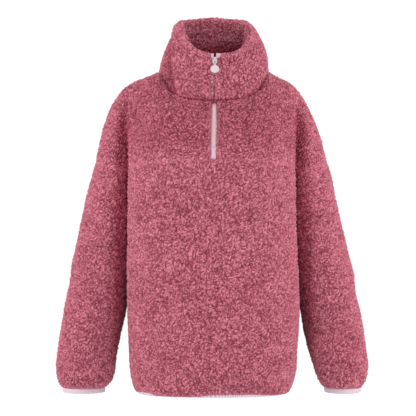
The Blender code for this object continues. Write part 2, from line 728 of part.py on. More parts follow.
def make_zip(tape, coil):
    for side, label in SIDE_NAMES.items():
        edges = [side * e for e in (TAPE_CLEARANCE, TAPE_WIDTH / 2, TAPE_WIDTH)]
        wall(f"zip_tape_{label}", [zip_strip(TAPE_LOW_Z, TAPE_HIGH_Z, edges, TAPE_NEAR, TAPE_FAR)], tape)
    half = COIL_HALF_WIDTH
    rows = zip_strip(COIL_LOW_Z, SLIDER_LOW_Z - SEAM_GAP, (-half, -half / 2, half / 2, half), COIL_NEAR, COIL_FAR)
    for row in rows:
        for i in (0, 3):
            outer, inner = row[i]
            row[i] = (outer + Vector((0, half / 3, 0)), inner)
    wall("zip_coil", [rows], coil)
    half = END_TAB_HALF_WIDTH
    rows = zip_strip(END_TAB_LOW_Z, END_TAB_HIGH_Z, (-half, 0, half), TAPE_NEAR - 1.1, TAPE_NEAR - 0.3)
    wall("zip_end_tab", [rows], tape)


def slider_place():
    """The pull's hinge, under the bail, and how far the zip leans back there."""
    low, high = front_y(0, SLIDER_LOW_Z), front_y(0, SLIDER_HIGH_Z)
    lean = math.atan2(high - low, SLIDER_HIGH_Z - SLIDER_LOW_Z)
    return Vector((zip_x(PIVOT_Z), front_y(0, PIVOT_Z), PIVOT_Z)) * MM, lean


def box(name, low, high, bevel):
    """A box between two corners, in millimetres from the pull's hinge, with its edges rounded."""
    bpy.ops.mesh.primitive_cube_add(size=1)
    made = bpy.context.object
    made.name = name
    made.data.transform(Matrix.Diagonal([MM * (b - a) for a, b in zip(low, high)] + [1]))
    made.data.transform(Matrix.Translation([MM * (a + b) / 2 for a, b in zip(low, high)]))
    made.location, lean = slider_place()
    made.rotation_euler.x = -lean
    rounded = made.modifiers.new("rounded", "BEVEL")
    rounded.width = bevel * MM
    rounded.segments = 2
    return made


def move_to(made, group):
    for held in list(made.users_collection):
        held.objects.unlink(made)
    group.objects.link(made)


def helper(made):
    made.hide_render = True
    made.display_type = "WIRE"
    move_to(made, helpers)
    return made


def combine(made, other, operation):
    joined = made.modifiers.new(other.name, "BOOLEAN")
    joined.operation = operation
    joined.object = other


def make_slider(metal):
    """The slider's body with its bail, an arch over the pull's cross bar."""
    half, wide = SLIDER_WIDTH / 2, BAIL_WIDTH / 2
    low, high = SLIDER_LOW_Z - PIVOT_Z, SLIDER_HIGH_Z - PIVOT_Z
    slider = box("zip_slider", (-half, SLIDER_NEAR, low), (half, SLIDER_FAR, high), 1.1)
    front = PIVOT_DEPTH - BAIL_FRONT
    outside = box(
        "bail", (-wide, front - BAIL_THICK, -BAIL_INNER_LOW - BAIL_THICK),
        (wide, SLIDER_NEAR + 0.8, BAIL_INNER_HIGH + BAIL_THICK), 0.4,
    )
    inside = box(
        "bail_hollow", (-2 * wide, front, -BAIL_INNER_LOW), (2 * wide, SLIDER_NEAR, BAIL_INNER_HIGH), 0.3,
    )
    combine(slider, helper(outside), "UNION")
    combine(slider, helper(inside), "DIFFERENCE")
    slider.data.materials.append(metal)
    move_to(slider, collection)


def pull_outline():
    """The pull seen flat, from its cross bar at the top down to its disc."""
    top = PULL_THICK / 2
    shoulder = EYE_LENGTH + 1.2
    meet = DISC_DROP - math.sqrt(DISC_RADIUS**2 - STEM_HALF_WIDTH**2)
    right = [(PULL_HALF_WIDTH, top), (PULL_HALF_WIDTH, -EYE_LENGTH), (STEM_HALF_WIDTH, -shoulder)]
    right.append((STEM_HALF_WIDTH, -meet))
    start = math.asin(STEM_HALF_WIDTH / DISC_RADIUS)
    turns = steps(start, 2 * math.pi - start, 32)[1:-1]
    disc = [(DISC_RADIUS * math.sin(t), -DISC_DROP + DISC_RADIUS * math.cos(t)) for t in turns]
    return right + disc + [(-x, z) for x, z in reversed(right)]


def make_pull(metal):
    """A flat pull with an eye round the bail. Its origin is the middle of the cross bar, its hinge."""
    top = PULL_THICK / 2
    eye = [(EYE_HALF_WIDTH, -top), (-EYE_HALF_WIDTH, -top), (-EYE_HALF_WIDTH, -EYE_LENGTH), (EYE_HALF_WIDTH, -EYE_LENGTH)]
    flat = bpy.data.curves.new("pull_outline", "CURVE")
    flat.dimensions = "2D"
    flat.fill_mode = "BOTH"
    flat.extrude = PULL_THICK / 2 * MM
    for outline in (pull_outline(), eye):
        spline = flat.splines.new("POLY")
        spline.points.add(len(outline) - 1)
        for point, (x, z) in zip(spline.points, outline):
            point.co = (x * MM, z * MM, 0, 1)
        spline.use_cyclic_u = True
    drawn = bpy.data.objects.new("pull_drawn", flat)
    collection.objects.link(drawn)
    bpy.context.view_layer.update()
    mesh = bpy.data.meshes.new_from_object(drawn.evaluated_get(bpy.context.evaluated_depsgraph_get()))
    bpy.data.objects.remove(drawn)
    mesh.name = "zip_pull"
    shell = bmesh.new()
    shell.from_mesh(mesh)
    bmesh.ops.remove_doubles(shell, verts=shell.verts, dist=1e-6)
    bmesh.ops.recalc_face_normals(shell, faces=shell.faces)
    shell.to_mesh(mesh)
    shell.free()
    place, lean = slider_place()
    turned = Matrix.Rotation(-lean, 4, "X")
    mesh.transform(turned @ Matrix.Rotation(-PULL_LIFT, 4, "X") @ Matrix.Rotation(math.pi / 2, 4, "X"))
    pull = finish_object("zip_pull", mesh, metal)
    pull.location = place + turned @ Vector((0, PIVOT_DEPTH * MM, 0))


clear()
fleece = material("rose_fleece", (0.50, 0.105, 0.17), 0.9)
elastic = material("pale_elastic", (0.72, 0.56, 0.66), 0.6)
tape = material("pale_tape", (0.74, 0.58, 0.62), 0.7)
coil = material("pale_coil", (0.78, 0.63, 0.66), 0.4)
metal = material("pale_painted_metal", (0.80, 0.67, 0.72), 0.3)
make_front(fleece)
make_back(fleece)
for each_side in SIDE_NAMES:
    make_sleeve(each_side, fleece)
make_collar(fleece)
make_bindings(elastic)
make_zip(tape, coil)
make_slider(metal)
make_pull(metal)
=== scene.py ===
"""Half-zip pullover of sherpa fleece, hollow and filled out as if worn, in a plain pale studio."""

import math

import bmesh
import bpy
import numpy as np
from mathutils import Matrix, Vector, kdtree


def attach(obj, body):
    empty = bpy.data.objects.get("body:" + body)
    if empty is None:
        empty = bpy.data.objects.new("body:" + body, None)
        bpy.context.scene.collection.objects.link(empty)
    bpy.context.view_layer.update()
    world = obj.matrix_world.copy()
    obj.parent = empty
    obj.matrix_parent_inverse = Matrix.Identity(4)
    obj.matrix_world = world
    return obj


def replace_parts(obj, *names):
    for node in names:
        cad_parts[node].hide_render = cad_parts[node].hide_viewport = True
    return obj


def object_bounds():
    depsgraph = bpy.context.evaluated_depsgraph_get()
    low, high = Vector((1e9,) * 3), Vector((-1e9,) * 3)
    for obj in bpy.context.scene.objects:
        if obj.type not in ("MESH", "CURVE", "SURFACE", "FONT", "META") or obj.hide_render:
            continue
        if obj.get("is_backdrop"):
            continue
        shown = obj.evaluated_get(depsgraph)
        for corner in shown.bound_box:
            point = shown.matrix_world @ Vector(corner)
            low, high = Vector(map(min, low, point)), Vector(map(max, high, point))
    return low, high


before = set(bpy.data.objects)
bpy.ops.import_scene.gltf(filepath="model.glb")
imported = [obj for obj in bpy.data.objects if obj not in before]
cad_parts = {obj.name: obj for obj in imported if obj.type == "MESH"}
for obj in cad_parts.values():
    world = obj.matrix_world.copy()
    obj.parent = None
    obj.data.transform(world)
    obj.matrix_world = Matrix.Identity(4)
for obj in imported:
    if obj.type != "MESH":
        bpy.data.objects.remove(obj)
cad_low, cad_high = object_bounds()

# Camera
# The photograph looks straight at the zip from chest height, from about three metres away, so the sides
# hardly close in. Lengths below are millimetres, as on a pattern cutter's ruler, and MM makes them metres.

MM = 0.001
CAMERA_X, CAMERA_Z, CAMERA_DISTANCE = -8.3, -199.0, 3040.0
PICTURE_WIDTH_AT_FRONT, FRONT_PLANE = 690.6, 3000.0

eye = bpy.data.cameras.new("studio_camera")
eye.sensor_width = 36.0
eye.lens = 36.0 * FRONT_PLANE / PICTURE_WIDTH_AT_FRONT
eye.clip_start, eye.clip_end = 0.05, 40.0
camera = bpy.data.objects.new("studio_camera", eye)
camera.location = Vector((CAMERA_X, -CAMERA_DISTANCE, CAMERA_Z)) * MM
camera.rotation_euler = (math.pi / 2, 0, 0)
bpy.context.scene.collection.objects.link(camera)
bpy.context.scene.camera = camera

# Shape of the pullover
# The body is a soft tube of squarish sections. The sleeves hang beside it and press it in. Yoke and upper
# back rise from it to the neck seam and the shoulder, and turn down over the arm as a dropped shoulder.

WALL = 6.0
SEAM_GAP = 0.3
ROUND = 2.5
WEARERS_RIGHT, WEARERS_LEFT = -1, 1
SIDE_NAMES = {WEARERS_RIGHT: "right", WEARERS_LEFT: "left"}
YOKE_SEAM_Z, UNDERARM_Z, SLEEVE_SEAM_OUTER_Z, HEM_Z, CUFF_Z = -121.0, -135.0, -122.0, -502.0, -500.0
# height, half width right and left, front and back
BODY = (
    (-110.0, 144.0, 140.0, -111.0, 104.0),
    (-160.0, 144.5, 140.0, -114.0, 103.0),
    (-230.0, 143.5, 140.0, -117.0, 100.0),
    (-300.0, 143.5, 142.0, -119.0, 98.0),
    (-370.0, 142.5, 144.0, -120.0, 99.0),
    (-430.0, 140.0, 140.5, -119.0, 101.0),
    (-470.0, 138.0, 138.5, -117.0, 102.0),
    (-490.0, 134.0, 133.0, -114.0, 100.0),
    (-502.0, 128.0, 127.0, -109.0, 96.0),
)
BODY_SIDE_COLUMN = {WEARERS_RIGHT: 1, WEARERS_LEFT: 2}
BODY_FRONT, BODY_BACK = 3, 4
# height, outer and inner edge of the right and of the left sleeve, middle of the depth and half of it
SLEEVE = (
    (-122.0, 198.0, 99.0, 193.0, 97.0, 24.0, 62.0),
    (-145.0, 204.5, 101.0, 200.0, 99.0, 24.0, 63.0),
    (-186.0, 215.0, 109.0, 208.0, 106.0, 24.0, 62.0),
    (-253.0, 229.0, 122.0, 223.5, 118.0, 22.0, 60.0),
    (-321.0, 244.0, 137.5, 240.0, 135.0, 19.0, 58.0),
    (-372.0, 251.0, 147.0, 249.0, 148.0, 15.0, 56.0),
    (-422.0, 259.0, 158.5, 256.0, 157.5, 11.0, 54.0),
    (-465.0, 264.0, 165.0, 261.0, 170.0, 8.0, 51.0),
    (-488.0, 261.0, 170.0, 257.0, 178.0, 7.0, 46.0),
    (-500.0, 255.0, 180.0, 251.0, 186.0, 7.0, 40.0),
)
SLEEVE_OUTER = {WEARERS_RIGHT: 1, WEARERS_LEFT: 3}
SLEEVE_INNER = {WEARERS_RIGHT: 2, WEARERS_LEFT: 4}
SLEEVE_MIDDLE, SLEEVE_DEPTH = 5, 6
CLEARANCE, CLEARANCE_LOW, CLEARANCE_DROP, CORNER = 0.3, 5.0, 60.0, 8.0
FRONT_FOLD_Y, SIDE_SEAM_Y, BACK_FOLD_Y = -37.0, 17.0, 70.0
# height of the shoulder line and its distance out on the right and on the left
SHOULDER = (
    (31.0, 90.0, 93.0),
    (21.5, 112.0, 108.0),
    (13.0, 133.0, 127.0),
    (3.0, 149.0, 139.0),
    (-7.0, 158.0, 147.0),
    (-17.0, 165.0, 154.0),
    (-34.0, 175.0, 163.0),
    (-51.0, 181.0, 171.0),
    (-68.0, 187.0, 178.0),
    (-85.0, 191.0, 184.0),
    (-102.0, 195.0, 188.0),
    (-122.0, 198.0, 193.0),
)
SHOULDER_POINT = 0.295
SHOULDER_NECK_Y, SHOULDER_SLEEVE_Y = 4.0, 24.0
CHEST_ROUND, UPPER_BACK_ROUND, ARM_ROUND = 1.45, 1.7, 2.2
# the hollow between chest and arm: how deep, its share of the way out, and where it starts and ends upwards
ARM_FOLD, ARM_FOLD_REACH, ARM_FOLD_START, ARM_FOLD_END, ARM_FOLD_FADE = 9.0, 0.16, 0.15, 0.3, 0.45
# angle from the front, and height, of the neck seam and of the collar's rim
NECK_HEIGHTS = ((0, -23.0), (25, -19.0), (45, -9.0), (65, 8.0), (90, 31.0), (130, 36.0), (180, 37.0))
RIM_HEIGHTS = {
    WEARERS_RIGHT: ((0, 52.0), (22, 60.0), (38, 70.0), (51, 83.0), (69, 100.0), (90, 111.0), (180, 122.0)),
    WEARERS_LEFT: ((0, 52.0), (25, 55.5), (45, 63.0), (57, 72.0), (70, 86.0), (90, 108.0), (180, 122.0)),
}
NECK_HALF_WIDTH = {WEARERS_RIGHT: 90.0, WEARERS_LEFT: 93.0}
RIM_HALF_WIDTH = {WEARERS_RIGHT: 63.0, WEARERS_LEFT: 67.0}
NECK_MIDDLE_Y, NECK_HALF_DEPTH, RIM_MIDDLE_Y, RIM_HALF_DEPTH = 4.0, 70.0, 0.0, 57.0
NECK_ROUND = 2.3
BULGE_FRONT, BULGE_BACK, BULGE_SIDE = 5.0, 4.0, {WEARERS_RIGHT: 3.0, WEARERS_LEFT: 7.0}
NECK_SHARE = 0.7
ZIP_X_LOW, ZIP_X_HIGH, ZIP_TOP_Z = 0.5, 3.0, 52.0
YOKE_HALF_GAP, COLLAR_HALF_GAP, COLLAR_TOP_HALF_GAP = 4.7, 1.8, 5.4
COLLAR_SPREAD_LOW_Z, COLLAR_SPREAD_HIGH_Z = 30.0, 40.0

# Soft folds of front and back: depth into the cloth, half width, and each run from top to bottom as x and z
FRONT_FOLDS = (
    (3.0, 13.0, -112.0, -170.0, -100.0, -300.0),
    (-3.0, 13.0, -98.0, -215.0, -104.0, -335.0),
    (3.5, 12.0, -122.0, -265.0, -126.0, -400.0),
    (3.5, 14.0, 118.0, -180.0, 104.0, -330.0),
    (-2.5, 15.0, 92.0, -200.0, 84.0, -340.0),
    (2.5, 18.0, 60.0, -330.0, 78.0, -480.0),
    (2.5, 18.0, -45.0, -360.0, -59.0, -495.0),
    (2.0, 26.0, 10.0, -150.0, 0.0, -330.0),
)
BACK_FOLDS = (
    (3.5, 16.0, -85.0, -150.0, -65.0, -330.0),
    (3.5, 17.0, 80.0, -160.0, 56.0, -350.0),
    (3.0, 22.0, 15.0, -230.0, 3.0, -470.0),
    (2.5, 18.0, -60.0, -340.0, -70.0, -495.0),
    (-2.5, 16.0, 95.0, -330.0, 103.0, -480.0),
)
# Soft creases across the sleeves: side, depth, angle, half the angle it spans, height, half width, climb
SLEEVE_CREASES = (
    (-1, 4.0, -35.0, 75.0, -262.0, 22.0, -12.0),
    (-1, 3.5, 60.0, 80.0, -330.0, 22.0, 14.0),
    (-1, 3.0, 200.0, 80.0, -300.0, 24.0, 12.0),
    (-1, 3.0, 20.0, 70.0, -440.0, 20.0, -10.0),
    (1, 4.0, -30.0, 75.0, -285.0, 22.0, -12.0),
    (1, 3.5, 70.0, 80.0, -350.0, 24.0, 16.0),
    (1, 3.0, 190.0, 80.0, -320.0, 24.0, 14.0),
    (1, 3.0, 10.0, 70.0, -430.0, 20.0, -12.0),
)
# The fold in the collar beside the front, on the wearer's right: its angle low down and how far it turns
CREASE_ANGLE, CREASE_TURN, CREASE_RISE = 45.0, 54.0, 0.46
CREASE_DEPTH, CREASE_NARROW, CREASE_WIDE = 9.5, 8.0, 17.0


def lerp(a, b, t):
    return a + (b - a) * t


def ease(t):
    t = np.clip(t, 0.0, 1.0)
    return t * t * (3 - 2 * t)


def xyz(x, y, z):
    return np.stack(np.broadcast_arrays(x, y, z), axis=-1).astype(float)


def signed_power(base, power):
    return np.copysign(np.abs(base) ** power, base)


def read(rows, column, at):
    """A table's column at any places along its first column, as a smooth curve through the rows."""
    table = np.array(sorted(rows), dtype=float)
    places, values = table[:, 0], table[:, column]
    low = np.maximum(np.arange(len(places)) - 1, 0)
    high = np.minimum(np.arange(len(places)) + 1, len(places) - 1)
    slopes = (values[high] - values[low]) / (places[high] - places[low])
    at = np.clip(at, places[0], places[-1])
    i = np.clip(np.searchsorted(places, at, side="right") - 1, 0, len(places) - 2)
    span = places[i + 1] - places[i]
    t = (at - places[i]) / span
    start, end, rise = slopes[i] * span, slopes[i + 1] * span, values[i + 1] - values[i]
    return values[i] + t * start + t * t * (3 * rise - 2 * start - end) + t**3 * (start + end - 2 * rise)


def soft_bump(off):
    return np.where(np.abs(off) < 1, (1 - np.minimum(off * off, 1)) ** 2, 0.0)


def sleeve_ring(side, z):
    """A sleeve's section: middle and half of its width, then middle and half of its depth."""
    outer, inner = read(SLEEVE, SLEEVE_OUTER[side], z), read(SLEEVE, SLEEVE_INNER[side], z)
    middle_y, depth = read(SLEEVE, SLEEVE_MIDDLE, z), read(SLEEVE, SLEEVE_DEPTH, z)
    return (outer + inner) / 2, (outer - inner) / 2, middle_y, depth


def sleeve_crease(side, angle, z):
    total = 0.0
    for its_side, deep, middle, span, height, wide, climb in SLEEVE_CREASES:
        if its_side != side:
            continue
        off = np.remainder(angle - math.radians(middle) + math.pi, 2 * math.pi) - math.pi
        off = off / math.radians(span)
        total = total + deep * soft_bump(off) * np.exp(-(((z - height - climb * off) / wide) ** 2))
    return total


def sleeve_point(side, angle, z):
    middle, half, middle_y, depth = sleeve_ring(side, z)
    crease = sleeve_crease(side, angle, z)
    half, depth = half - crease, depth - crease
    return xyz(side * (middle + half * np.sin(angle)), middle_y - depth * np.cos(angle), z)


def body_depth(z):
    """Middle and half of the body's depth at a height."""
    front, back = read(BODY, BODY_FRONT, z), read(BODY, BODY_BACK, z)
    return (front + back) / 2, (back - front) / 2


def body_side(side, y, z):
    """Half width of the body at a depth, pressed in where the sleeve hangs beside it."""
    body_middle, half_depth = body_depth(z)
    share = np.minimum(np.abs(y - body_middle) / half_depth, 1.0)
    free = read(BODY, BODY_SIDE_COLUMN[side], z) * (1 - share**ROUND) ** (1 / ROUND)
    middle, half, middle_y, depth = sleeve_ring(side, z)
    off = np.abs(y - middle_y) / depth
    beside = middle - half * np.sqrt(np.maximum(1 - off * off, 0))
    inner = np.where(off < 1, beside, middle + 3 * (off - 1) * depth)
    drop = np.clip((UNDERARM_Z - z) / CLEARANCE_DROP, 0, 1)
    limit = inner - lerp(CLEARANCE, CLEARANCE_LOW, ease(drop))
    near = np.maximum(CORNER - np.abs(free - limit), 0) / CORNER
    return np.minimum(free, limit) - near * near * CORNER / 4


def body_turn(y, z):
    middle, half = body_depth(z)
    share = np.clip((middle - y) / half, -1, 1)
    return np.arccos(signed_power(share, ROUND / 2))


def body_fold(folds, x, z):
    total = 0.0
    for deep, wide, x_high, high, x_low, low in folds:
        run = np.clip((high - z) / (high - low), 0, 1)
        total = total + deep * np.sin(math.pi * run) * np.exp(-(((x - lerp(x_high, x_low, run)) / wide) ** 2))
    return total


def body_point(side, turn, z):
    middle, half = body_depth(z)
    along = np.cos(turn)
    y = middle - half * signed_power(along, 2 / ROUND)
    x = side * body_side(side, y, z)
    fold = np.where(along > 0, body_fold(FRONT_FOLDS, x, z), -body_fold(BACK_FOLDS, x, z))
    return xyz(x, y + np.abs(along) * fold, z)


def fold_angle(side, y):
    """The sleeve's angle where its underarm starts, in front or behind."""
    middle, _, middle_y, depth = sleeve_ring(side, UNDERARM_Z)
    turn = math.acos(np.clip((middle_y - y) / depth, -1, 1))
    if body_side(side, y, UNDERARM_Z) > middle:
        return turn
    return -turn if y < middle_y else 2 * math.pi - turn


def seam_z(side, angle):
    front, back = fold_angle(side, FRONT_FOLD_Y), fold_angle(side, BACK_FOLD_Y)
    outer = math.pi / 2
    share = np.where(angle < outer, (angle - front) / (outer - front), (back - angle) / (back - outer))
    return lerp(UNDERARM_Z, SLEEVE_SEAM_OUTER_Z, ease(share))


def neck_curve(side, angle, heights, half_width, middle_y, half_depth):
    x = side * half_width * np.maximum(np.sin(angle), 0) ** (2 / NECK_ROUND)
    y = middle_y - half_depth * signed_power(np.cos(angle), 2 / NECK_ROUND)
    return xyz(x, y, read(heights, 1, np.degrees(angle)))


def neck_point(side, angle):
    return neck_curve(side, angle, NECK_HEIGHTS, NECK_HALF_WIDTH[side], NECK_MIDDLE_Y, NECK_HALF_DEPTH)


def collar_crease(angle, rise):
    off = np.degrees(angle) - CREASE_ANGLE - CREASE_TURN * rise
    off = off / np.where(off < 0, CREASE_NARROW, CREASE_WIDE)
    return np.exp(-off * off) * soft_bump((rise - CREASE_RISE) / CREASE_RISE)


def collar_point(side, angle, rise):
    low = neck_point(side, angle)
    high = neck_curve(side, angle, RIM_HEIGHTS[side], RIM_HALF_WIDTH[side], RIM_MIDDLE_Y, RIM_HALF_DEPTH)
    ends = np.where(angle < math.pi / 2, BULGE_FRONT, BULGE_BACK)
    out_y = -ends * np.cos(angle) * np.abs(np.cos(angle))
    out = xyz(side * BULGE_SIDE[side] * np.sin(angle) ** 2, out_y, 0 * angle)
    rise = np.asarray(rise)[..., None]
    point = lerp(low, high, rise) + np.sin(math.pi * rise) * out
    if side == WEARERS_RIGHT:
        fold = CREASE_DEPTH * collar_crease(angle, rise[..., 0])[..., None]
        point = point + fold * xyz(np.sin(angle), np.cos(angle), 0 * angle)
    return point


def shoulder_point(side, share):
    """A point of the shoulder line, by its share of the length from neck to sleeve seam."""
    table = np.array(SHOULDER)
    heights, outs = table[:, 0], table[:, 1 if side == WEARERS_RIGHT else 2]
    lengths = np.concatenate([[0.0], np.cumsum(np.hypot(np.diff(heights), np.diff(outs)))])
    rows = list(zip(lengths / lengths[-1], heights, outs))
    y = lerp(SHOULDER_NECK_Y, SHOULDER_SLEEVE_Y, share)
    return xyz(side * read(rows, 2, share), y, read(rows, 1, share))


def zip_x(z):
    return lerp(ZIP_X_LOW, ZIP_X_HIGH, (z - YOKE_SEAM_Z) / (ZIP_TOP_Z - YOKE_SEAM_Z))


def beside_zip(point, side, half_gap, share):
    moved = point.copy()
    moved[..., 0] += (zip_x(point[..., 2]) + side * half_gap) * (1 - np.minimum(share, 1)) ** 2
    return moved


def rounding(t, squareness):
    return 1 - (1 - np.minimum(t, 1.0) ** squareness) ** (1 / squareness)


def body_panel(side, behind, across, down):
    """Front or back below the yoke. Across is 0 at the middle, 1 beside the arm and 2 at the side seam."""
    u = np.minimum(across, 1)
    z = lerp(lerp(YOKE_SEAM_Z, UNDERARM_Z, u**3), HEM_Z, down)
    fold_y = BACK_FOLD_Y if behind else FRONT_FOLD_Y
    _, _, middle_y, depth = sleeve_ring(side, UNDERARM_Z)
    seam = -math.acos((middle_y - SIDE_SEAM_Y) / depth) + (2 * math.pi if behind else 0)
    underarm = lerp(fold_angle(side, fold_y), seam, np.maximum(across - 1, 0))
    y = middle_y - depth * np.cos(underarm)
    panel_turn = lerp(math.pi if behind else 0.0, body_turn(fold_y, z), u)
    return body_point(side, np.where(across > 1, body_turn(y, z), panel_turn), z)


def upper_panel(side, behind, across, up):
    """Yoke or upper back. Across is 0 at the middle, 1 at the fold beside the arm, 2 at the sleeve seam."""
    u = np.minimum(across, 1)
    foot = body_panel(side, behind, u, 0 * u)
    quarter = math.pi / 2
    part = np.minimum(u / NECK_SHARE, 1)
    angle = lerp(math.pi, quarter, part) if behind else quarter * part
    beyond = SHOULDER_POINT * np.maximum(u - NECK_SHARE, 0) / (1 - NECK_SHARE)
    at_neck = (u <= NECK_SHARE + 1e-9)[..., None]
    head = np.where(at_neck, neck_point(side, angle), shoulder_point(side, beyond))
    squareness = lerp(UPPER_BACK_ROUND if behind else CHEST_ROUND, ARM_ROUND, u)
    panel = lerp(foot, head, up[..., None])
    panel[..., 1] = lerp(foot[..., 1], head[..., 1], rounding(up, squareness))
    k = np.clip(across - 1, 0, 1)
    crest = shoulder_point(side, lerp(SHOULDER_POINT, 1, k))
    last = shoulder_point(side, 1 + 0 * k)
    seam_angle = lerp(fold_angle(side, BACK_FOLD_Y if behind else FRONT_FOLD_Y), quarter, up)
    seam = sleeve_point(side, seam_angle, seam_z(side, seam_angle))
    cap = lerp(foot, crest, up[..., None]) + (k**3)[..., None] * (seam - lerp(foot, last, up[..., None]))
    hollow = 0 if behind else ARM_FOLD * k / ARM_FOLD_REACH * np.exp(1 - k / ARM_FOLD_REACH) * (1 - k)
    cap[..., 1] = lerp(lerp(foot[..., 1], crest[..., 1], rounding(up, ARM_ROUND)), seam[..., 1], ease(k))
    cap[..., 1] += hollow * ease(up / ARM_FOLD_START) * (1 - ease((up - ARM_FOLD_END) / ARM_FOLD_FADE))
    return np.where((across <= 1)[..., None], panel, cap)


def sleeve_tube(side, round_share, down):
    """A sleeve from the front fold all the way round, and from its seam down to the cuff."""
    start = fold_angle(side, FRONT_FOLD_Y)
    angle = start + 2 * math.pi * round_share
    top = seam_z(side, angle)
    return sleeve_point(side, angle, lerp(top, CUFF_Z, down))


def collar_band(side, angle_share, rise):
    """The collar's outer face, with its front edges parting towards the top."""
    angle = math.pi * angle_share
    point = collar_point(side, angle, rise)
    spread = ease((point[..., 2] - COLLAR_SPREAD_LOW_Z) / (COLLAR_SPREAD_HIGH_Z - COLLAR_SPREAD_LOW_Z))
    return beside_zip(point, side, lerp(COLLAR_HALF_GAP, COLLAR_TOP_HALF_GAP, spread), 2 * angle_share)


# Sherpa fleece
# A knitted polyester backing carries a deep pile that has been tumbled into short curls, about 6 mm wide
# and packed tight, so the cloth is all knobs with dark gaps between them. Every curl here is real shape, and
# the gaps also get painted shade in the colour.

# depth of the gaps and height of the curls from the wall's face, and how far apart curls and meshes lie
PILE_LOW, PILE_HIGH = -2.4, 1.3
CURL_SPACING, FINE_SPACING = 5.8, 3.6
SPACING, BACKING_SPACING, BACKING_COVER = 1.4, 7.0, 0.4
# a curl's height by the fields: how bent, how broad and how steep it is, then each field's share
CURL_BEND, CURL_BROAD, CURL_STEEP = 1.4, 0.60, 1.4
CURL_SHARE, FINE_SHARE, CLUMP_SHARE, LEAST_HEIGHT, MOST_HEIGHT = 0.86, 0.16, 0.03, 0.02, 1.15
# the pile beside an edge, and the turned edge with its own curls and painted shade that deepens round the
# turn
EDGE_REACH, EDGE_DROP, EDGE_HEIGHT, EDGE_SMOOTH = 4.5, 0.7, 0.85, 0.5
RIM_BULGE, RIM_ROLL, RIM_START, RIM_CURL, MEAN_HEIGHT = 1.6, 4.5, 1.2, 2.4, 0.6
RIM_LIGHT_NEAR, RIM_LIGHT_FAR = 0.9, 0.5


def waves(seed, length, spread, count=48):
    """A smooth random field in space, whose bumps lie about half a length apart."""
    chance = np.random.default_rng(seed)
    facing = chance.normal(size=(count, 3))
    facing /= np.linalg.norm(facing, axis=1, keepdims=True)
    pace = 2 * math.pi / (length * chance.uniform(1 - spread, 1 + spread, count))
    shift = chance.uniform(0, 2 * math.pi, count)

    def field(points):
        total = np.zeros(len(points))
        for way, fast, start in zip(facing, pace, shift):
            total += np.cos(points @ (way * fast) + start)
        return total * math.sqrt(2 / count)

    return field


curl_field = waves(11, CURL_SPACING, 0.10)
fine_field = waves(23, FINE_SPACING, 0.3)
bend_fields = [waves(31 + i, 19.0, 0.3, 24) for i in range(3)]
slow_field = waves(47, 95.0, 0.4, 24)
clump_field = waves(53, 34.0, 0.35, 24)


def pile_height(points):
    """From 0 in the gap between curls to 1 on a curl's back."""
    bent = points + CURL_BEND * np.stack([f(points) for f in bend_fields], axis=-1)
    curl = np.abs(curl_field(bent))
    body = 1 - np.exp(-((curl / CURL_BROAD) ** CURL_STEEP))
    height = body * (CURL_SHARE + FINE_SHARE * fine_field(bent)) + CLUMP_SHARE * clump_field(points)
    return np.clip(height + LEAST_HEIGHT, 0, MOST_HEIGHT)


def evened(line, low, high, spacing):
    """Shares from low to high at which a line's points lie evenly, about a spacing apart."""
    tries = np.linspace(low, high, 241)
    lengths = np.concatenate([[0.0], np.cumsum(np.linalg.norm(np.diff(line(tries), axis=0), axis=-1))])
    count = max(round(lengths[-1] / spacing), 2)
    return np.interp(np.linspace(0, lengths[-1], count + 1), lengths, tries)


def grid(surface, across, up, spacing, columns_at=0.0, rows_at=0.0):
    """Points of a surface, even along the row and the column that are named."""
    columns = evened(lambda t: surface(t, columns_at + 0 * t), *across, spacing)
    rows = evened(lambda t: surface(rows_at + 0 * t, t), *up, spacing)
    return surface(*np.meshgrid(columns, rows))


def squares(numbers):
    """Four-sided faces between points that are numbered in rows and columns."""
    corners = [numbers[:-1, :-1], numbers[:-1, 1:], numbers[1:, 1:], numbers[1:, :-1]]
    return np.stack(corners, axis=-1).reshape(-1, 4)


def sew(grids, inside, inwards=False):
    """Joins grids where their points meet. Faces turn away from the inside point of each grid."""
    points = np.concatenate([g.reshape(-1, 3) for g in grids])
    keys = np.round(points * 50).astype(np.int64)
    _, first, number = np.unique(keys, axis=0, return_index=True, return_inverse=True)
    number = number.reshape(-1)
    faces, start = [], 0
    for g in grids:
        numbers = number[start : start + g.shape[0] * g.shape[1]].reshape(g.shape[:2])
        start += numbers.size
        r, c = g.shape[0] // 2, g.shape[1] // 3
        facing = np.cross(g[r, c + 1] - g[r, c], g[r + 1, c] - g[r, c])
        quads = squares(numbers)
        middle = np.array([inside[0] * math.copysign(1, g[r, c, 0]), inside[1], g[r, c, 2] + inside[2]])
        faces.append(quads if (facing @ (g[r, c] - middle) > 0) != inwards else quads[:, ::-1])
    return points[first], np.concatenate(faces)


def mesh_of(name, points, faces):
    made = bpy.data.meshes.new(name)
    whole = [tuple(dict.fromkeys(face)) for face in faces.tolist()]
    made.from_pydata((points * MM).tolist(), [], [face for face in whole if len(face) > 2])
    made.shade_smooth()
    return made


def normals_of(made):
    found = np.empty(len(made.vertices) * 3)
    made.vertex_normals.foreach_get("vector", found)
    return found.reshape(-1, 3)


def rim_edges(faces):
    edges = np.concatenate([faces[:, [i, (i + 1) % 4]] for i in range(4)])
    edges = edges[edges[:, 0] != edges[:, 1]]
    _, first, count = np.unique(np.sort(edges, axis=1), axis=0, return_index=True, return_counts=True)
    return edges[first[count == 1]]


def add_piece(name, made, surface, body="garment"):
    piece = bpy.data.objects.new(name, made)
    made.materials.clear()
    made.materials.append(surface)
    bpy.context.scene.collection.objects.link(piece)
    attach(piece, body)
    return piece


def keep_values(made, name, values):
    """Keeps a number at each point of a mesh, for its material to read."""
    kept = made.attributes.new(name, "FLOAT", "POINT")
    kept.data.foreach_set("value", values)


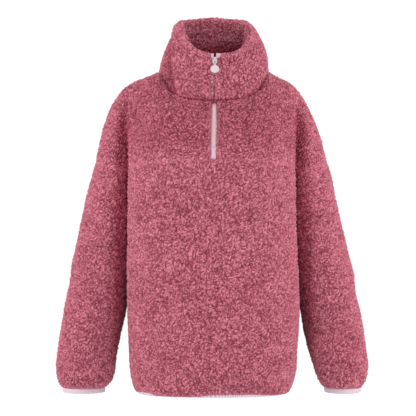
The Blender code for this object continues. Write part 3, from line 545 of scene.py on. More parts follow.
def nearest(points, places):
    """The place nearest to each point, and how far away it is."""
    tree = kdtree.KDTree(len(places))
    for i, p in enumerate(places):
        tree.insert(p, i)
    tree.balance()
    found = [tree.find(p) for p in points]
    return np.array([f[0] for f in found], dtype=float), np.array([f[2] for f in found])


WHITE = (1.0, 1.0, 1.0)


class Shader:
    """A material, with short ways to add its nodes."""

    def __init__(self, name, roughness, metallic=0.0):
        self.made = bpy.data.materials.new(name)
        self.made.use_nodes = True
        self.tree = self.made.node_tree
        self.shader = self.tree.nodes["Principled BSDF"]
        self.set("Roughness", roughness)
        self.set("Metallic", metallic)

    def set(self, socket, value):
        self.shader.inputs[socket].default_value = value

    def add(self, kind, **values):
        node = self.tree.nodes.new(kind)
        for name, value in values.items():
            setattr(node, name, value)
        return node

    def link(self, output, socket):
        self.tree.links.new(output, socket)

    def colour(self, output):
        self.link(output, self.shader.inputs["Base Color"])

    def attribute(self, name):
        return self.add("ShaderNodeAttribute", attribute_name=name).outputs["Fac"]

    def place(self, scale):
        node = self.add("ShaderNodeMapping")
        node.inputs["Scale"].default_value = scale
        self.link(self.add("ShaderNodeTexCoord").outputs["Object"], node.inputs["Vector"])
        return node.outputs["Vector"]

    def noise(self, scale, detail=2.0, vector=None):
        node = self.add("ShaderNodeTexNoise")
        node.inputs["Scale"].default_value = scale
        node.inputs["Detail"].default_value = detail
        self.link(vector if vector else self.place((1, 1, 1)), node.inputs["Vector"])
        return node.outputs["Fac"]

    def ramp(self, value, stops):
        node = self.add("ShaderNodeValToRGB")
        elements = node.color_ramp.elements
        while len(elements) < len(stops):
            elements.new(0.5)
        for element, (place, colour) in zip(elements, stops):
            element.position = place
            element.color = (*colour, 1)
        self.link(value, node.inputs["Fac"])
        return node.outputs["Color"]

    def mottle(self, scale, detail, low, high, start=0.3):
        return self.ramp(self.noise(scale, detail), ((start, low), (0.7, high)))

    def wave(self, direction, scale, distortion):
        node = self.add("ShaderNodeTexWave", bands_direction=direction)
        node.inputs["Scale"].default_value = scale
        node.inputs["Distortion"].default_value = distortion
        self.link(self.place((1, 1, 1)), node.inputs["Vector"])
        return node.outputs["Fac"]

    def math(self, operation, a, b):
        node = self.add("ShaderNodeMath", operation=operation)
        for socket, value in zip(node.inputs, (a, b)):
            if isinstance(value, (int, float)):
                socket.default_value = value
            else:
                self.link(value, socket)
        return node.outputs[0]

    def mix(self, kind, amount, a, b):
        node = self.add("ShaderNodeMix", data_type="RGBA", blend_type=kind)
        for index, value in ((0, amount), (6, a), (7, b)):
            socket = node.inputs[index]
            if isinstance(value, (int, float)):
                socket.default_value = value
            elif isinstance(value, tuple):
                socket.default_value = (*value, 1)
            else:
                self.link(value, socket)
        return node.outputs[2]

    def bump(self, height, distance, strength=1.0):
        node = self.add("ShaderNodeBump")
        node.inputs["Strength"].default_value = strength
        node.inputs["Distance"].default_value = distance
        self.link(height, node.inputs["Height"])
        self.link(node.outputs["Normal"], self.shader.inputs["Normal"])


# fibre flecks, how far painted shade pulls the colour down the ramp, and the ramp's shift
FLECK_SCALE, FLECK_SHARE, SHADE_SHARE, TONE_SHIFT = 640.0, 1.75, 0.17, 0.89


def fleece_material(name, gap, low, middle, tip):
    """Pale curl tips, painted shade of deep rose in the gaps, fibre flecks, and darker, redder painted shade.
    """
    cloth = Shader(name, 0.95)
    flecks = cloth.math("MULTIPLY", cloth.noise(FLECK_SCALE, 0.5), FLECK_SHARE)
    curl = cloth.math("ADD", cloth.attribute("pile"), flecks)
    # painted shade: this attribute pulls the colour towards the gaps' tone and multiplies it darker and
    # redder
    shade = cloth.attribute("painted_shade")
    curl = cloth.math("SUBTRACT", curl, cloth.math("MULTIPLY", shade, SHADE_SHARE))
    curl = cloth.math("SUBTRACT", curl, TONE_SHIFT)
    # painted shade: the ramp darkens the colour from the curls' tips down into the gaps between them
    colour = cloth.ramp(curl, ((0.05, gap), (0.35, low), (0.72, middle), (1.0, tip)))
    worn = cloth.ramp(cloth.attribute("slow"), ((0.0, (0.93, 0.90, 0.91)), (1.0, WHITE)))
    deep = cloth.ramp(shade, ((0.0, WHITE), (0.85, (0.67, 0.38, 0.45)), (1.0, (0.48, 0.20, 0.27))))
    colour = cloth.mix("MULTIPLY", 1.0, cloth.mix("MULTIPLY", 1.0, colour, worn), deep)
    cloth.colour(colour)
    cloth.set("Sheen Weight", 0.22)
    cloth.set("Sheen Roughness", 0.45)
    cloth.set("Sheen Tint", (1.0, 0.48, 0.58, 1))
    cloth.set("Specular IOR Level", 0.06)
    cloth.bump(cloth.noise(900.0, 4.0), 0.0006, 0.7)
    return cloth.made


# the first colour is the painted shade deep in the gaps between curls
sherpa = fleece_material(
    "rose_sherpa", (0.155, 0.030, 0.050), (0.30, 0.068, 0.100), (0.41, 0.112, 0.153), (0.57, 0.200, 0.250)
)
knit_cloth = Shader("rose_knit_backing", 0.85)
knit_cloth.colour(knit_cloth.mottle(60.0, 3.0, (0.20, 0.022, 0.045), (0.27, 0.035, 0.065)))
knit_cloth.set("Sheen Weight", 0.2)
knit_cloth.bump(knit_cloth.wave("Z", 260.0, 1.2), 0.0004, 0.6)
backing_knit = knit_cloth.made


def fleece_piece(node, grids_at, inside=(0, 0, 0), depth=WALL, spacing=SPACING, inwards=False, crest=None,
                 shadow=None):
    """The pile as its own shell with its edges turned in and its painted shade kept, and the knitted backing
    behind it.
    """
    name = f"{node}_pile"
    points, faces = sew(grids_at(spacing), inside, inwards)
    base = mesh_of(name + "_base", points, faces)
    normals = normals_of(base)
    bpy.data.meshes.remove(base)
    edges = rim_edges(faces)
    rim = np.unique(edges)
    where = np.full(len(points), -1)
    where[rim] = np.arange(len(rim))
    one, two = edges[:, 0], edges[:, 1]
    out = np.zeros((len(rim), 3))
    for end in (one, two):
        np.add.at(out, where[end], np.cross(points[two] - points[one], normals[end]))
    out /= np.maximum(np.linalg.norm(out, axis=1, keepdims=True), 1e-9)
    near_edge = 1 - ease(nearest(points, points[rim])[1] / EDGE_REACH)
    height = lerp(pile_height(points), EDGE_HEIGHT, EDGE_SMOOTH * near_edge)
    raised = lerp(PILE_LOW, PILE_HIGH, height) - EDGE_DROP * near_edge
    rows, shade, turned = [points + normals * raised[:, None]], [height], []
    on_crest = out[:, 2] > 0.5 if crest is not None else np.zeros(len(rim), bool)
    top = nearest(points[rim], crest)[0] if crest is not None else points[rim]
    last, count = np.arange(len(points)), max(round(depth / spacing), 3)
    for share in np.linspace(0, 1, count + 1)[1:]:
        spot = points[rim] - normals[rim] * lerp(RIM_START, depth, share)
        curls, round_off = pile_height(spot), math.sin(math.pi * share)
        push = RIM_BULGE * round_off**0.6 + round_off * RIM_CURL * (curls - MEAN_HEIGHT)
        row = spot + out * push[:, None]
        rolled = lerp(points[rim] - RIM_START * normals[rim], top, share)
        curls_there = pile_height(rolled)
        lift = RIM_ROLL * math.sin(math.pi / 2 * share) ** 0.7 + RIM_CURL * (curls_there - MEAN_HEIGHT)
        rolled = rolled + lerp(out, np.array([0.0, 0.0, 1.0]), share) * lift[:, None]
        start = sum(len(r) for r in rows)
        rows.append(np.where(on_crest[:, None], rolled, row))
        # painted shade: the colour darkens as a turned edge rounds away, except along the collar's crest
        shade.append(np.where(on_crest, curls_there, curls * lerp(RIM_LIGHT_NEAR, RIM_LIGHT_FAR, share)))
        now = np.full(len(points), -1)
        now[rim] = start + np.arange(len(rim))
        turned.append(np.stack([last[two], last[one], now[one], now[two]], axis=-1))
        last = now
    everywhere = np.concatenate(rows)
    facing = np.concatenate([normals] + [normals[rim]] * (len(rows) - 1))
    made = mesh_of(name, everywhere, np.concatenate([faces, *turned]))
    keep_values(made, "pile", np.concatenate(shade))
    keep_values(made, "slow", np.clip(0.5 + 0.25 * slow_field(everywhere), 0, 1))
    # painted shade, from the piece's shadow function
    keep_values(made, "painted_shade", np.clip(shadow(everywhere, facing), 0, 1) if shadow else 0 * everywhere[:, 0])
    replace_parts(add_piece(name, made, sherpa), node)
    inner_points, inner_faces = sew(grids_at(BACKING_SPACING), inside, inwards)
    flat = mesh_of(name + "_rough", inner_points, inner_faces)
    behind_pile = inner_points - normals_of(flat) * (depth - BACKING_COVER)
    inner = mesh_of(name + "_backing", behind_pile, inner_faces[:, ::-1])
    bpy.data.meshes.remove(flat)
    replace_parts(add_piece(name + "_backing", inner, backing_knit), node)


# Front
# One panel of sherpa from the yoke seam down to the hem. It is cut straight across at the top, overlocked
# to the two yokes, and joined to the back down each side under the arm.

HEM_HANG, HANG_FROM, HANG_RISE = 4.0, 0.93, 0.07
# where the hem's binding peeps out, along x, and how far to each side
FRONT_PEEPS = ((-112.0, 13.0), (35.0, 50.0))
BACK_PEEPS = ((-40.0, 24.0), (70.0, 18.0))


def both_sides(surface, across, up, columns_at=0.0, rows_at=0.0):
    """Grids of the right and left halves of a panel, for any spacing."""
    return lambda spacing: [
        grid(lambda a, b, s=side: surface(s, a, b), across, up, spacing, columns_at, rows_at)
        for side in SIDE_NAMES
    ]


def hanging(side, behind, across, down):
    """The body with its pile hanging a little over the hem's binding, which shows only here and there."""
    point = body_panel(side, behind, across, down)
    x = point[..., 0]
    hang = HEM_HANG
    for middle, reach in BACK_PEEPS if behind else FRONT_PEEPS:
        hang = hang * (1 - np.exp(-(((x - middle) / reach) ** 4)))
    point[..., 2] -= hang * ease((down - HANG_FROM) / HANG_RISE)
    return point


front_halves = both_sides(lambda s, a, b: hanging(s, False, a, b), (0, 2), (0, 1))
fleece_piece("front_lower", front_halves, spacing=1.46)

# Yokes
# Two pieces, one each side of the zip, over the chest and out over the arm to the dropped shoulder seam.
# Their front edges are turned under and topstitched to the zip's tapes, which leaves the coil showing.

PILE_AT_EDGE, ROWS_AT = 1.2, 0.8
# the edge at the neck: how far it laps under the collar, how far it is tucked in, and where that fades
NECK_LAP, LAP_UNTIL, LAP_FADE = 0.025, 0.3, 0.3
NECK_TUCK, TUCK_FADE, TUCK_FROM, TUCK_RISE = 3.5, 0.1, 0.85, 0.15
# painted shade along the neck seam, in the hollow beside the arm, and on the yokes under the collar
NECK_LINE, SEAM_TOP_Z, SEAM_FADE = 3.4, 16.0, 14.0
ARM_LINE = {WEARERS_RIGHT: 140.0, WEARERS_LEFT: 136.0}
ARM_SHADE, ARM_SHADE_END, ARM_SHADE_FADE, ARM_SHADE_TOP_Z, ARM_SHADE_RISE = 0.8, 30, 18, -15, 50
SHARP_IN_FRONT, SHARP_BEHIND, FACING_FRONT = 3, 24, 0.2
YOKE_SHADE, YOKE_SHADE_RISE, YOKE_SHADE_Y = 0.24, 40, -5
neck_angles = np.linspace(0, math.pi, 200)
neck_line = np.concatenate([neck_point(side, neck_angles) for side in SIDE_NAMES])


# painted shade: a dark line along the neck seam, fading out higher up
def beside_seam(points, line):
    low_enough = ease((SEAM_TOP_Z - points[:, 2]) / SEAM_FADE)
    return low_enough * np.exp(-((nearest(points, line)[1] / NECK_LINE) ** 2))


def lapped(side, behind, across, up):
    """Yoke or upper back, with the edge at the neck seam reaching a little way under the collar."""
    beside = ease((across - LAP_UNTIL) / LAP_FADE)
    point = upper_panel(side, behind, across, up * (1 + NECK_LAP * (1 - beside)))
    before_shoulder = 1 - ease((across - NECK_SHARE) / TUCK_FADE)
    point[..., 0] -= side * NECK_TUCK * beside * before_shoulder * ease((up - TUCK_FROM) / TUCK_RISE)
    return point


def beside_arm(points, facing):
    """Painted shade for the fleece along the neck seam and in the hollow between chest and arm."""
    side = np.where(points[:, 0] < 0, WEARERS_RIGHT, WEARERS_LEFT)
    out, z = np.abs(points[:, 0]), points[:, 2]
    beyond = out - np.where(side == WEARERS_RIGHT, ARM_LINE[WEARERS_RIGHT], ARM_LINE[WEARERS_LEFT])
    sharp = np.where(points[:, 1] < SIDE_SEAM_Y, SHARP_IN_FRONT, SHARP_BEHIND)
    hollow = ease(beyond / sharp + 0.5) * ease((ARM_SHADE_END - beyond) / ARM_SHADE_FADE)
    arm = ARM_SHADE * hollow * ease((ARM_SHADE_TOP_Z - z) / ARM_SHADE_RISE)
    lit_side = (np.abs(facing[:, 1]) <= FACING_FRONT) & (points[:, 1] < SIDE_SEAM_Y)
    return np.maximum(np.where(lit_side, 0, arm), beside_seam(points, neck_line))


def on_yoke(points, facing):
    """Painted shade on the yokes, which lie under the collar: a little darker than the front below them."""
    rise, near_front = points[:, 2] - YOKE_SEAM_Z, YOKE_SHADE_Y - points[:, 1]
    under_collar = ease(rise / YOKE_SHADE_RISE) * ease(near_front / YOKE_SHADE_RISE)
    return np.maximum(YOKE_SHADE * under_collar, beside_arm(points, facing))


def yoke(side):
    def surface(across, up):
        return beside_zip(lapped(side, False, across, up), side, YOKE_HALF_GAP + PILE_AT_EDGE, across)

    return lambda spacing: [
        grid(surface, (0, 1), (0, 1), spacing, 0, ROWS_AT),
        grid(surface, (1, 2), (0, 1), spacing, 1, ROWS_AT),
    ]


for each_side, label in SIDE_NAMES.items():
    fleece_piece(f"front_yoke_{label}", yoke(each_side), (0, 0, -60), shadow=on_yoke)

# Back
# One large panel from the neck seam and the shoulders to the hem, seen through the neck from the front.


def back_grids(spacing):
    grids = []
    for side in SIDE_NAMES:
        grids.append(grid(lambda a, b, s=side: hanging(s, True, a, b), (0, 1), (0, 1), spacing))
        grids.append(grid(lambda a, b, s=side: hanging(s, True, a, b), (1, 2), (0, 1), spacing))
        grids.append(grid(lambda a, b, s=side: lapped(s, True, a, b), (0, 1), (0, 1), spacing, 0, ROWS_AT))
        grids.append(grid(lambda a, b, s=side: lapped(s, True, a, b), (1, 2), (0, 1), spacing, 1, ROWS_AT))
    return grids


fleece_piece("back", back_grids, spacing=1.75, shadow=beside_arm)

# Sleeves
# Each is one piece, sewn into a tube with its seam under the arm and joined to the yoke and the back by a
# seam that runs nearly level round the arm. They hang beside the body and crumple softly at the elbow.

# painted shade beside the body: how dark, where it ends and fades, how far it turns inwards, and its reaches
BODY_SHADE, BODY_SHADE_END, BODY_SHADE_FADE, FACING_IN = 0.72, 34, 22, 0.75
TOUCH_REACH, UNDERARM_REACH = 7, 6


def beside_body(points, facing):
    """Painted shade on a sleeve where it lies beside the body and in the corner under the arm."""
    right, left = (read(BODY, BODY_SIDE_COLUMN[side], points[:, 2]) for side in SIDE_NAMES)
    beyond = np.abs(points[:, 0]) - np.where(points[:, 0] < 0, right, left)
    inwards = -np.sign(points[:, 0]) * facing[:, 0]
    corner = np.exp(-np.hypot(beyond, points[:, 2] - UNDERARM_Z) / UNDERARM_REACH)
    touching = np.exp(-np.maximum(beyond, 0) / TOUCH_REACH)
    band = np.maximum(BODY_SHADE * ease((BODY_SHADE_END - beyond) / BODY_SHADE_FADE), touching)
    return np.maximum(band * ease(FACING_IN + inwards), corner)


for each_side, label in SIDE_NAMES.items():
    fleece_piece(
        f"sleeve_{label}",
        lambda spacing, s=each_side: [grid(lambda a, b: sleeve_tube(s, a, b), (0, 1), (0, 1), spacing)],
        (190, 15, 0), shadow=beside_body,
    )

# Collar
# Two layers of the same fleece, pile out and pile in, meet at the rim and stand up by their own stiffness.
# Each front edge is turned in over the zip's tape, so closed they hide the coil.

LINING_DEPTH, COLLAR_RIM, LINING_SLANT, SLANT_FADE = 13.0, 7.3, 0.5, 0.25
INTO_SEAM, SIDE_SINK, SINK_FADE = -0.04, 0.05, 0.15
# the crest's height at the back, and painted shade in the neck: how dark, where it starts, how it fades, its
# reach behind the fold
CREST_AT_BACK, NECK_PAINTED_SHADE, DARK_BELOW, DARK_FADE = 122.0, 0.94, 30, 24
FOLD_SHADE_REACH, FOLD_SHARP = 12, 3


def sunk_band(side, angle_share, rise):
    """The collar's outer face, going a little deeper into the seam at the sides of the neck."""
    sink = SIDE_SINK * np.sin(math.pi * angle_share) ** 2 * (1 - ease((rise - INTO_SEAM) / SINK_FADE))
    return collar_band(side, angle_share, rise - sink)


def into_collar(side, angle_share, rise):
    """The way into the collar from its outer face, slanting down near the seam."""
    angle = math.pi * angle_share
    reach = 0.02
    ahead, behind = np.minimum(angle + reach, math.pi), np.maximum(angle - reach, 0)
    along = collar_point(side, ahead, rise) - collar_point(side, behind, rise)
    long = np.hypot(along[..., 0], along[..., 1])
    slant = -LINING_SLANT * np.sin(angle) ** 2 * (1 - ease(rise / SLANT_FADE))
    return xyz(-side * along[..., 1] / long, side * along[..., 0] / long, slant)


def lining_band(side, angle_share, rise):
    """The collar's inner face, the collar's thickness in from its outer face."""
    return collar_band(side, angle_share, rise) + LINING_DEPTH * into_collar(side, angle_share, rise)


def inside_neck(points, facing):
    """Painted shade on the lining, darker the deeper it lies in the neck."""
    return NECK_PAINTED_SHADE * ease((CREST_AT_BACK - DARK_BELOW - points[:, 2]) / DARK_FADE)


# the line along the collar's top where its two layers meet, and the line of the fold at the wearer's right,
# behind which shade is painted
shares = np.linspace(0, 1, 400)
crest = np.concatenate([
    collar_band(side, shares, 1 + 0 * shares) + COLLAR_RIM * into_collar(side, shares, 1 + 0 * shares)
    for side in SIDE_NAMES
])
rises = np.linspace(0.06, 0.72, 60)
fold_angles = np.radians(CREASE_ANGLE - CREASE_NARROW + CREASE_TURN * rises)
fold_line = collar_point(WEARERS_RIGHT, fold_angles, rises)


def round_collar(points, facing):
    """Painted shade along the neck seam, and behind the fold at the wearer's right."""
    on_fold, away = nearest(points, fold_line)
    fold = np.exp(-away / FOLD_SHADE_REACH) * ease((on_fold[:, 0] - points[:, 0]) / FOLD_SHARP + 0.5)
    return np.maximum(fold, beside_seam(points, neck_line))


outer_halves = both_sides(sunk_band, (0, 1), (INTO_SEAM, 1), 0.5, 1)
inner_halves = both_sides(lining_band, (0, 1), (0, 1), 0.5, 1)
fleece_piece("collar", outer_halves, depth=COLLAR_RIM, crest=crest, shadow=round_collar)
fleece_piece("collar_lining", inner_halves, depth=LINING_DEPTH - COLLAR_RIM, inwards=True, crest=crest,
             shadow=inside_neck)

# Elastic bindings
# A pale ribbed elastic, 20 mm wide, is folded over the raw edge of hem and cuffs and stitched through, so
# it peeks out under the pile and holds the edge in a little.

BINDING_THICK, BINDING_INSET, HEM_BINDING_HEIGHT, CUFF_BINDING_HEIGHT = 3.0, 1.5, 5.0, 8.5
RIB_DEPTH, RIBS_AT_HEM, RIBS_AT_CUFF = 0.12, 225, 100

elastic = Shader("pale_ribbed_elastic", 0.62)
ribs = elastic.attribute("rib")
# painted shade: darker in the valleys between the ribs, lighter on their ridges
ribs_painted_shade = elastic.ramp(ribs, ((0.0, (0.40, 0.29, 0.34)), (0.6, (0.56, 0.45, 0.51)), (1.0, (0.63, 0.52, 0.58))))
rubbed = elastic.mottle(240.0, 3.0, (0.92, 0.90, 0.92), WHITE)
elastic.colour(elastic.mix("MULTIPLY", 1.0, ribs_painted_shade, rubbed))
elastic.set("Sheen Weight", 0.25)
elastic.bump(elastic.noise(1500.0, 2.0), 0.0003, 0.5)


def binding(name, ring, top, height, ribs_around):
    """A folded band round an edge: its section runs down the outside, round the fold and up the inside."""
    ahead, back = np.roll(ring, -1, axis=0), np.roll(ring, 1, axis=0)
    along = ahead - back
    inwards = np.stack([-along[:, 1], along[:, 0], 0 * along[:, 0]], axis=-1)
    inwards /= np.linalg.norm(inwards, axis=1, keepdims=True)
    turns = np.linspace(0, 2 * math.pi, 17)[:-1]
    rib = 0.5 + 0.5 * np.cos(np.arange(len(ring)) / len(ring) * 2 * math.pi * ribs_around)
    rows = []
    for turn in turns:
        square = np.array([signed_power(math.cos(turn), 0.55), signed_power(math.sin(turn), 0.7)])
        deep = BINDING_INSET + BINDING_THICK / 2 - square[0] * (BINDING_THICK / 2 + RIB_DEPTH * (rib - 0.5))
        row = ring + inwards * np.asarray(deep)[:, None]
        row[:, 2] = top - height / 2 + square[1] * height / 2
        rows.append(row)
    numbers = np.arange(len(turns) * len(ring)).reshape(len(turns), len(ring))
    made = mesh_of(name, np.concatenate(rows), squares(np.pad(numbers, ((0, 1), (0, 1)), "wrap")))
    keep_values(made, "rib", np.tile(rib, len(turns)))
    return add_piece(name, made, elastic.made)


def hem_ring(count):
    turns = np.linspace(0, math.pi, count // 2 + 1)[:-1]
    left = body_point(WEARERS_LEFT, turns, HEM_Z + 0 * turns)
    right = body_point(WEARERS_RIGHT, math.pi - turns, HEM_Z + 0 * turns)
    return np.concatenate([left, right])


def cuff_ring(side, count):
    angles = np.linspace(0, 2 * math.pi, count + 1)[:-1] * side
    return sleeve_point(side, angles, CUFF_Z + 0 * angles)


hem = binding("hem_elastic", hem_ring(900), HEM_Z - SEAM_GAP, HEM_BINDING_HEIGHT, RIBS_AT_HEM)
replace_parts(hem, "hem_binding")
for each_side, label in SIDE_NAMES.items():
    cuff = binding(f"cuff_elastic_{label}", cuff_ring(each_side, 400), CUFF_Z - SEAM_GAP, CUFF_BINDING_HEIGHT,
                   RIBS_AT_CUFF)
    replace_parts(cuff, f"cuff_binding_{label}")

# Zip
# A nylon coil zip: two woven tapes behind the fleece's turned edges, each with a coil sewn along it, whose
# loops mesh in the middle. Below the coil the tapes end in a plain woven tab, sewn across.

COIL_LOW_Z, SLIDER_LOW_Z = -99.0, 40.5
COIL_DEPTH, COIL_PITCH, COIL_GAP, COIL_REACH, COIL_HALF_HEIGHT, COIL_RADIUS = 5.2, 1.4, 0.15, 1.15, 0.78, 0.48
NECK_STEP, NECK_STEP_REACH = 1.3, 15.0
# the tape ends beside the slider: depth near the middle and further out, where that changes, and their lean
TAPE_END_DEEP, TAPE_END_OUT, PULL_HALF_WIDTH, PULL_CLEAR = 0.5, -2.6, 4.0, 2.4
TAPE_END_TOP_Z, TAPE_END_LEAN, TAPE_END_THICK, TAPE_END_CELLS = 55.0, 3.0, 0.9, 6
# corners of each tape end: foot near and far from the middle, then top far and near, as x and z
TURNED_TAPES = {
    "right": ((-1.9, 47.5), (-4.6, 48.0), (-6.6, 55.6), (-2.0, 56.6)),
    "left": ((1.9, 47.5), (6.6, 49.0), (10.4, 55.2), (2.4, 57.0)),
}
# the pull's pivot, how far it leans out, and the raised rim round its disc
PULL_PIVOT, PULL_LEAN = np.array([2.893, -59.794, 44.722]), math.radians(9)
DISC_BELOW_PIVOT, DISC_FACE, DISC_RIM_RADIUS, DISC_RIM_THICK = 17.0, 0.62, 6.75, 0.4
SOFT_EDGE = 0.35


def front_y(x, z):
    """Depth of the front's outer face near its middle line."""
    side = WEARERS_LEFT
    angle = np.arcsin((np.abs(x) / NECK_HALF_WIDTH[side]) ** (NECK_ROUND / 2))
    low, high = collar_point(side, angle, 0 * angle)[..., 2], collar_point(side, angle, 0 * angle + 1)[..., 2]
    collar = collar_point(side, angle, np.clip((z - low) / (high - low), 0, 1))[..., 1]
    near, far = 0.0 * x, 0.0 * x + 0.5
    for _ in range(20):
        u = (near + far) / 2
        foot = upper_panel(side, False, u, 0 * u)
        head = upper_panel(side, False, u, 0 * u + 1)
        point = upper_panel(side, False, u, np.clip((z - foot[..., 2]) / (head[..., 2] - foot[..., 2]), 0, 1))
        short = np.abs(point[..., 0]) < np.abs(x)
        near, far = np.where(short, u, near), np.where(short, far, u)
    below = body_point(side, 0 * z, z)[..., 1]
    return np.where(z > NECK_HEIGHTS[0][1], collar, np.where(z < YOKE_SEAM_Z, below, point[..., 1]))


def zip_point(edge, z, deep):
    """A point beside the zip's middle line, a depth into the cloth, square to the front there."""
    reach = 3.0
    rise = front_y(edge, z + reach) - front_y(edge, z - reach)
    long = np.hypot(rise, 2 * reach)
    deep = deep + NECK_STEP * np.exp(-(((z - NECK_HEIGHTS[0][1]) / NECK_STEP_REACH) ** 2))
    return xyz(zip_x(z) + edge, front_y(edge, z) + deep * 2 * reach / long, z - deep * rise / long)


def tube(name, path, radius, around):
    """A round thread along a path of points, with open ends."""
    along = np.gradient(path, axis=0)
    along /= np.linalg.norm(along, axis=1, keepdims=True)
    first = np.cross(along, np.array([0.13, 0.21, 0.97]))
    first /= np.linalg.norm(first, axis=1, keepdims=True)
    second = np.cross(along, first)
    turns = np.linspace(0, 2 * math.pi, around + 1)[:-1]
    ring = np.cos(turns)[:, None, None] * first + np.sin(turns)[:, None, None] * second
    numbers = np.arange(around * len(path)).reshape(around, -1)
    faces = squares(np.pad(numbers, ((0, 1), (0, 0)), "wrap"))
    return mesh_of(name, (path + radius * ring).reshape(-1, 3), faces)


nylon = Shader("pale_nylon_coil", 0.38)
nylon.colour(nylon.mottle(700.0, 2.0, (0.94, 0.71, 0.70), (0.99, 0.79, 0.77)))
nylon.bump(nylon.noise(2500.0), 0.0001, 0.4)
for each_side, label in SIDE_NAMES.items():
    turns = np.arange(COIL_LOW_Z, SLIDER_LOW_Z, COIL_PITCH / 9)
    phase = 2 * math.pi * turns / COIL_PITCH + (math.pi if each_side > 0 else 0)
    place = zip_point(0 * turns, turns, COIL_DEPTH + COIL_HALF_HEIGHT * np.sin(phase))
    place[:, 0] += each_side * (COIL_GAP + COIL_REACH * (1 - np.cos(phase)))
    coil = tube(f"zip_teeth_{label}", place, COIL_RADIUS, 6)
    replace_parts(add_piece(f"zip_teeth_{label}", coil, nylon.made), "zip_coil")


def woven_tape(name, low, high):
    """Herringbone polyester tape between two tones, a little rubbed."""
    tape = Shader(name, 0.75)
    herringbone = tape.wave("DIAGONAL", 420.0, 0.6)
    weave = tape.ramp(herringbone, ((0.0, low), (1.0, high)))
    worn = tape.mottle(90.0, 2.0, (0.94, 0.92, 0.93), WHITE)
    tape.colour(tape.mix("MULTIPLY", 1.0, weave, worn))
    tape.set("Sheen Weight", 0.2)
    tape.bump(herringbone, 0.0002, 0.6)
    return tape


woven = woven_tape("pale_woven_tape", (0.66, 0.47, 0.54), (0.84, 0.63, 0.71))
# painted shade: the same tape, darker, for the ends turned out beside the slider
shaded_turned_tape = woven_tape("turned_tape_painted_shade", (0.45, 0.30, 0.345), (0.58, 0.39, 0.455))
enamel = Shader("pale_pink_enamel", 0.32)
enamel.colour(enamel.mottle(260.0, 4.0, (0.52, 0.395, 0.42), (0.57, 0.44, 0.465), start=0.35))
enamel.set("Coat Weight", 0.4)
enamel.set("Coat Roughness", 0.2)
enamel.bump(enamel.noise(900.0), 0.00005, 0.4)
for label, corners in TURNED_TAPES.items():
    foot_near, foot_far, top_far, top_near = (np.array(corner) for corner in corners)
    across, up = np.meshgrid(*[np.linspace(0, 1, TAPE_END_CELLS + 1)] * 2)
    low, high = lerp(foot_near, foot_far, across[..., None]), lerp(top_near, top_far, across[..., None])
    x, z = lerp(low, high, up[..., None]).reshape(-1, 2).T
    clear_of_pull = lerp(TAPE_END_DEEP, TAPE_END_OUT, ease((np.abs(x) - PULL_HALF_WIDTH) / PULL_CLEAR))
    place = zip_point(x, np.minimum(z, TAPE_END_TOP_Z), clear_of_pull)
    place[:, 1] += TAPE_END_LEAN * up.ravel() ** 3
    place[:, 2] = z
    tape_end = mesh_of(f"zip_tape_end_{label}", place, squares(np.arange(x.size).reshape(up.shape)))
    turned = add_piece(f"zip_tape_end_{label}", tape_end, shaded_turned_tape.made)
    thick = turned.modifiers.new("tape_thickness", "SOLIDIFY")
    thick.thickness = TAPE_END_THICK * MM
    thick.offset = 0

ring_turns = np.linspace(0, 2 * math.pi, 49)[:, None]
hang = np.array([0, -math.sin(PULL_LEAN), -math.cos(PULL_LEAN)])
face = np.array([0, -math.cos(PULL_LEAN), math.sin(PULL_LEAN)])
ring_middle = PULL_PIVOT + DISC_BELOW_PIVOT * hang + DISC_FACE * face
ring = np.sin(ring_turns) * hang + np.cos(ring_turns) * np.array([1.0, 0, 0])
disc_rim = tube("pull_rim", ring_middle + DISC_RIM_RADIUS * ring, DISC_RIM_THICK, 8)
add_piece("pull_rim", disc_rim, enamel.made, "pull")
for node in ("zip_slider", "zip_pull"):
    soft_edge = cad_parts[node].modifiers.new("soft_edges", "BEVEL")
    soft_edge.width, soft_edge.segments, soft_edge.limit_method = SOFT_EDGE * MM, 3, "ANGLE"

for node, surface in (("zip_tape_left", woven), ("zip_tape_right", woven), ("zip_end_tab", woven),
                      ("zip_slider", enamel), ("zip_pull", enamel)):
    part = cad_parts[node]
    part.data.materials.clear()
    part.data.materials.append(surface.made)
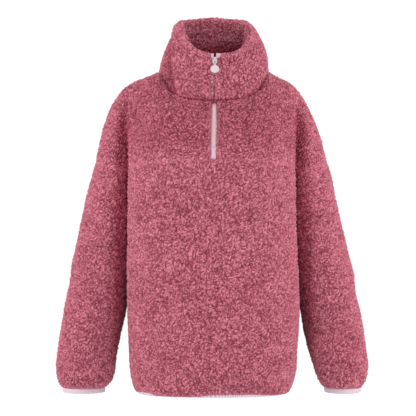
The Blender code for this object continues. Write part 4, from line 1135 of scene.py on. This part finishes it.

# Flat cuts
# Each fleece piece is cut from cloth laid flat and then sewn, which gives the width, length and area below in
# metres, with the pieces it lies against and the binding or tape sewn to its edge. The loop only gathers each
# piece's pile with what is sewn to it, and the names of its neighbours' backings.

CUTS = (
    ("front_lower", (0.46, 0.385), 0.172, ("front_yoke_right", "front_yoke_left", "back"), ("hem_elastic",)),
    ("back", (0.52, 0.60), 0.200, ("front_yoke_right", "front_yoke_left", "front_lower"), ()),
    ("front_yoke_right", (0.25, 0.20), 0.032, ("back",), ("zip_tape_right", "zip_tape_end_right")),
    ("front_yoke_left", (0.25, 0.20), 0.031, ("back",), ("zip_tape_left", "zip_tape_end_left")),
    ("sleeve_right", (0.37, 0.39), 0.116, ("front_yoke_right", "back"), ("cuff_elastic_right",)),
    ("sleeve_left", (0.37, 0.39), 0.114, ("front_yoke_left", "back"), ("cuff_elastic_left",)),
    ("collar", (0.46, 0.11), 0.039, ("front_yoke_right", "front_yoke_left", "back"), ()),
    ("collar_lining", (0.44, 0.11), 0.038, ("collar",), ()),
)
for cloth, size, area, neighbours, sewn_on in CUTS:
    going = [bpy.data.objects[f"{cloth}_pile"], *(bpy.data.objects[other] for other in sewn_on)]
    backs = [f"{other}_pile_backing" for other in neighbours]

# Studio
# A wide pale floor and a white surround light the fleece from all sides, as a light tent does. A large soft
# light above the camera models the curls, and one on each side brightens the edges.

FLOOR_Z = -620.0

floor_mesh = bpy.data.meshes.new("studio_floor")
shell = bmesh.new()
bmesh.ops.create_circle(shell, cap_ends=True, radius=90.0, segments=96)
shell.to_mesh(floor_mesh)
shell.free()
floor = bpy.data.objects.new("studio_floor", floor_mesh)
floor.location.z = FLOOR_Z * MM
bpy.context.scene.collection.objects.link(floor)
pale = Shader("pale_paper", 0.9)
pale.colour(pale.mottle(3.0, 2.0, (0.97, 0.965, 0.965), (0.985, 0.98, 0.98)))
floor_mesh.materials.append(pale.made)
floor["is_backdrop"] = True

surround = bpy.data.worlds.new("white_surround")
surround.use_nodes = True
surround.node_tree.nodes["Background"].inputs["Color"].default_value = (1.0, 0.995, 0.995, 1)
surround.node_tree.nodes["Background"].inputs["Strength"].default_value = 1.03
bpy.context.scene.world = surround
bpy.context.scene.view_settings.view_transform = "Standard"
bpy.context.scene.view_settings.look = "None"


def soft_light(name, place, aim, size, power):
    lamp = bpy.data.lights.new(name, "AREA")
    lamp.shape = "DISK"
    lamp.size = size
    lamp.energy = power
    light = bpy.data.objects.new(name, lamp)
    light.location = place
    light.rotation_euler = (Vector(aim) - Vector(place)).to_track_quat("-Z", "Y").to_euler()
    bpy.context.scene.collection.objects.link(light)


soft_light("key_above_camera", (0.2, -2.9, 0.6), (0, 0, -0.25), 0.9, 19.0)
soft_light("edge_right", (-2.4, -0.7, 0.3), (0, 0, -0.25), 0.9, 25.0)
soft_light("edge_left", (2.4, -0.7, 0.3), (0, 0, -0.25), 0.9, 23.0)

bpy.context.view_layer.update()
low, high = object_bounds()
{"cad": [list(cad_low), list(cad_high)], "visual": [list(low), list(high)]}
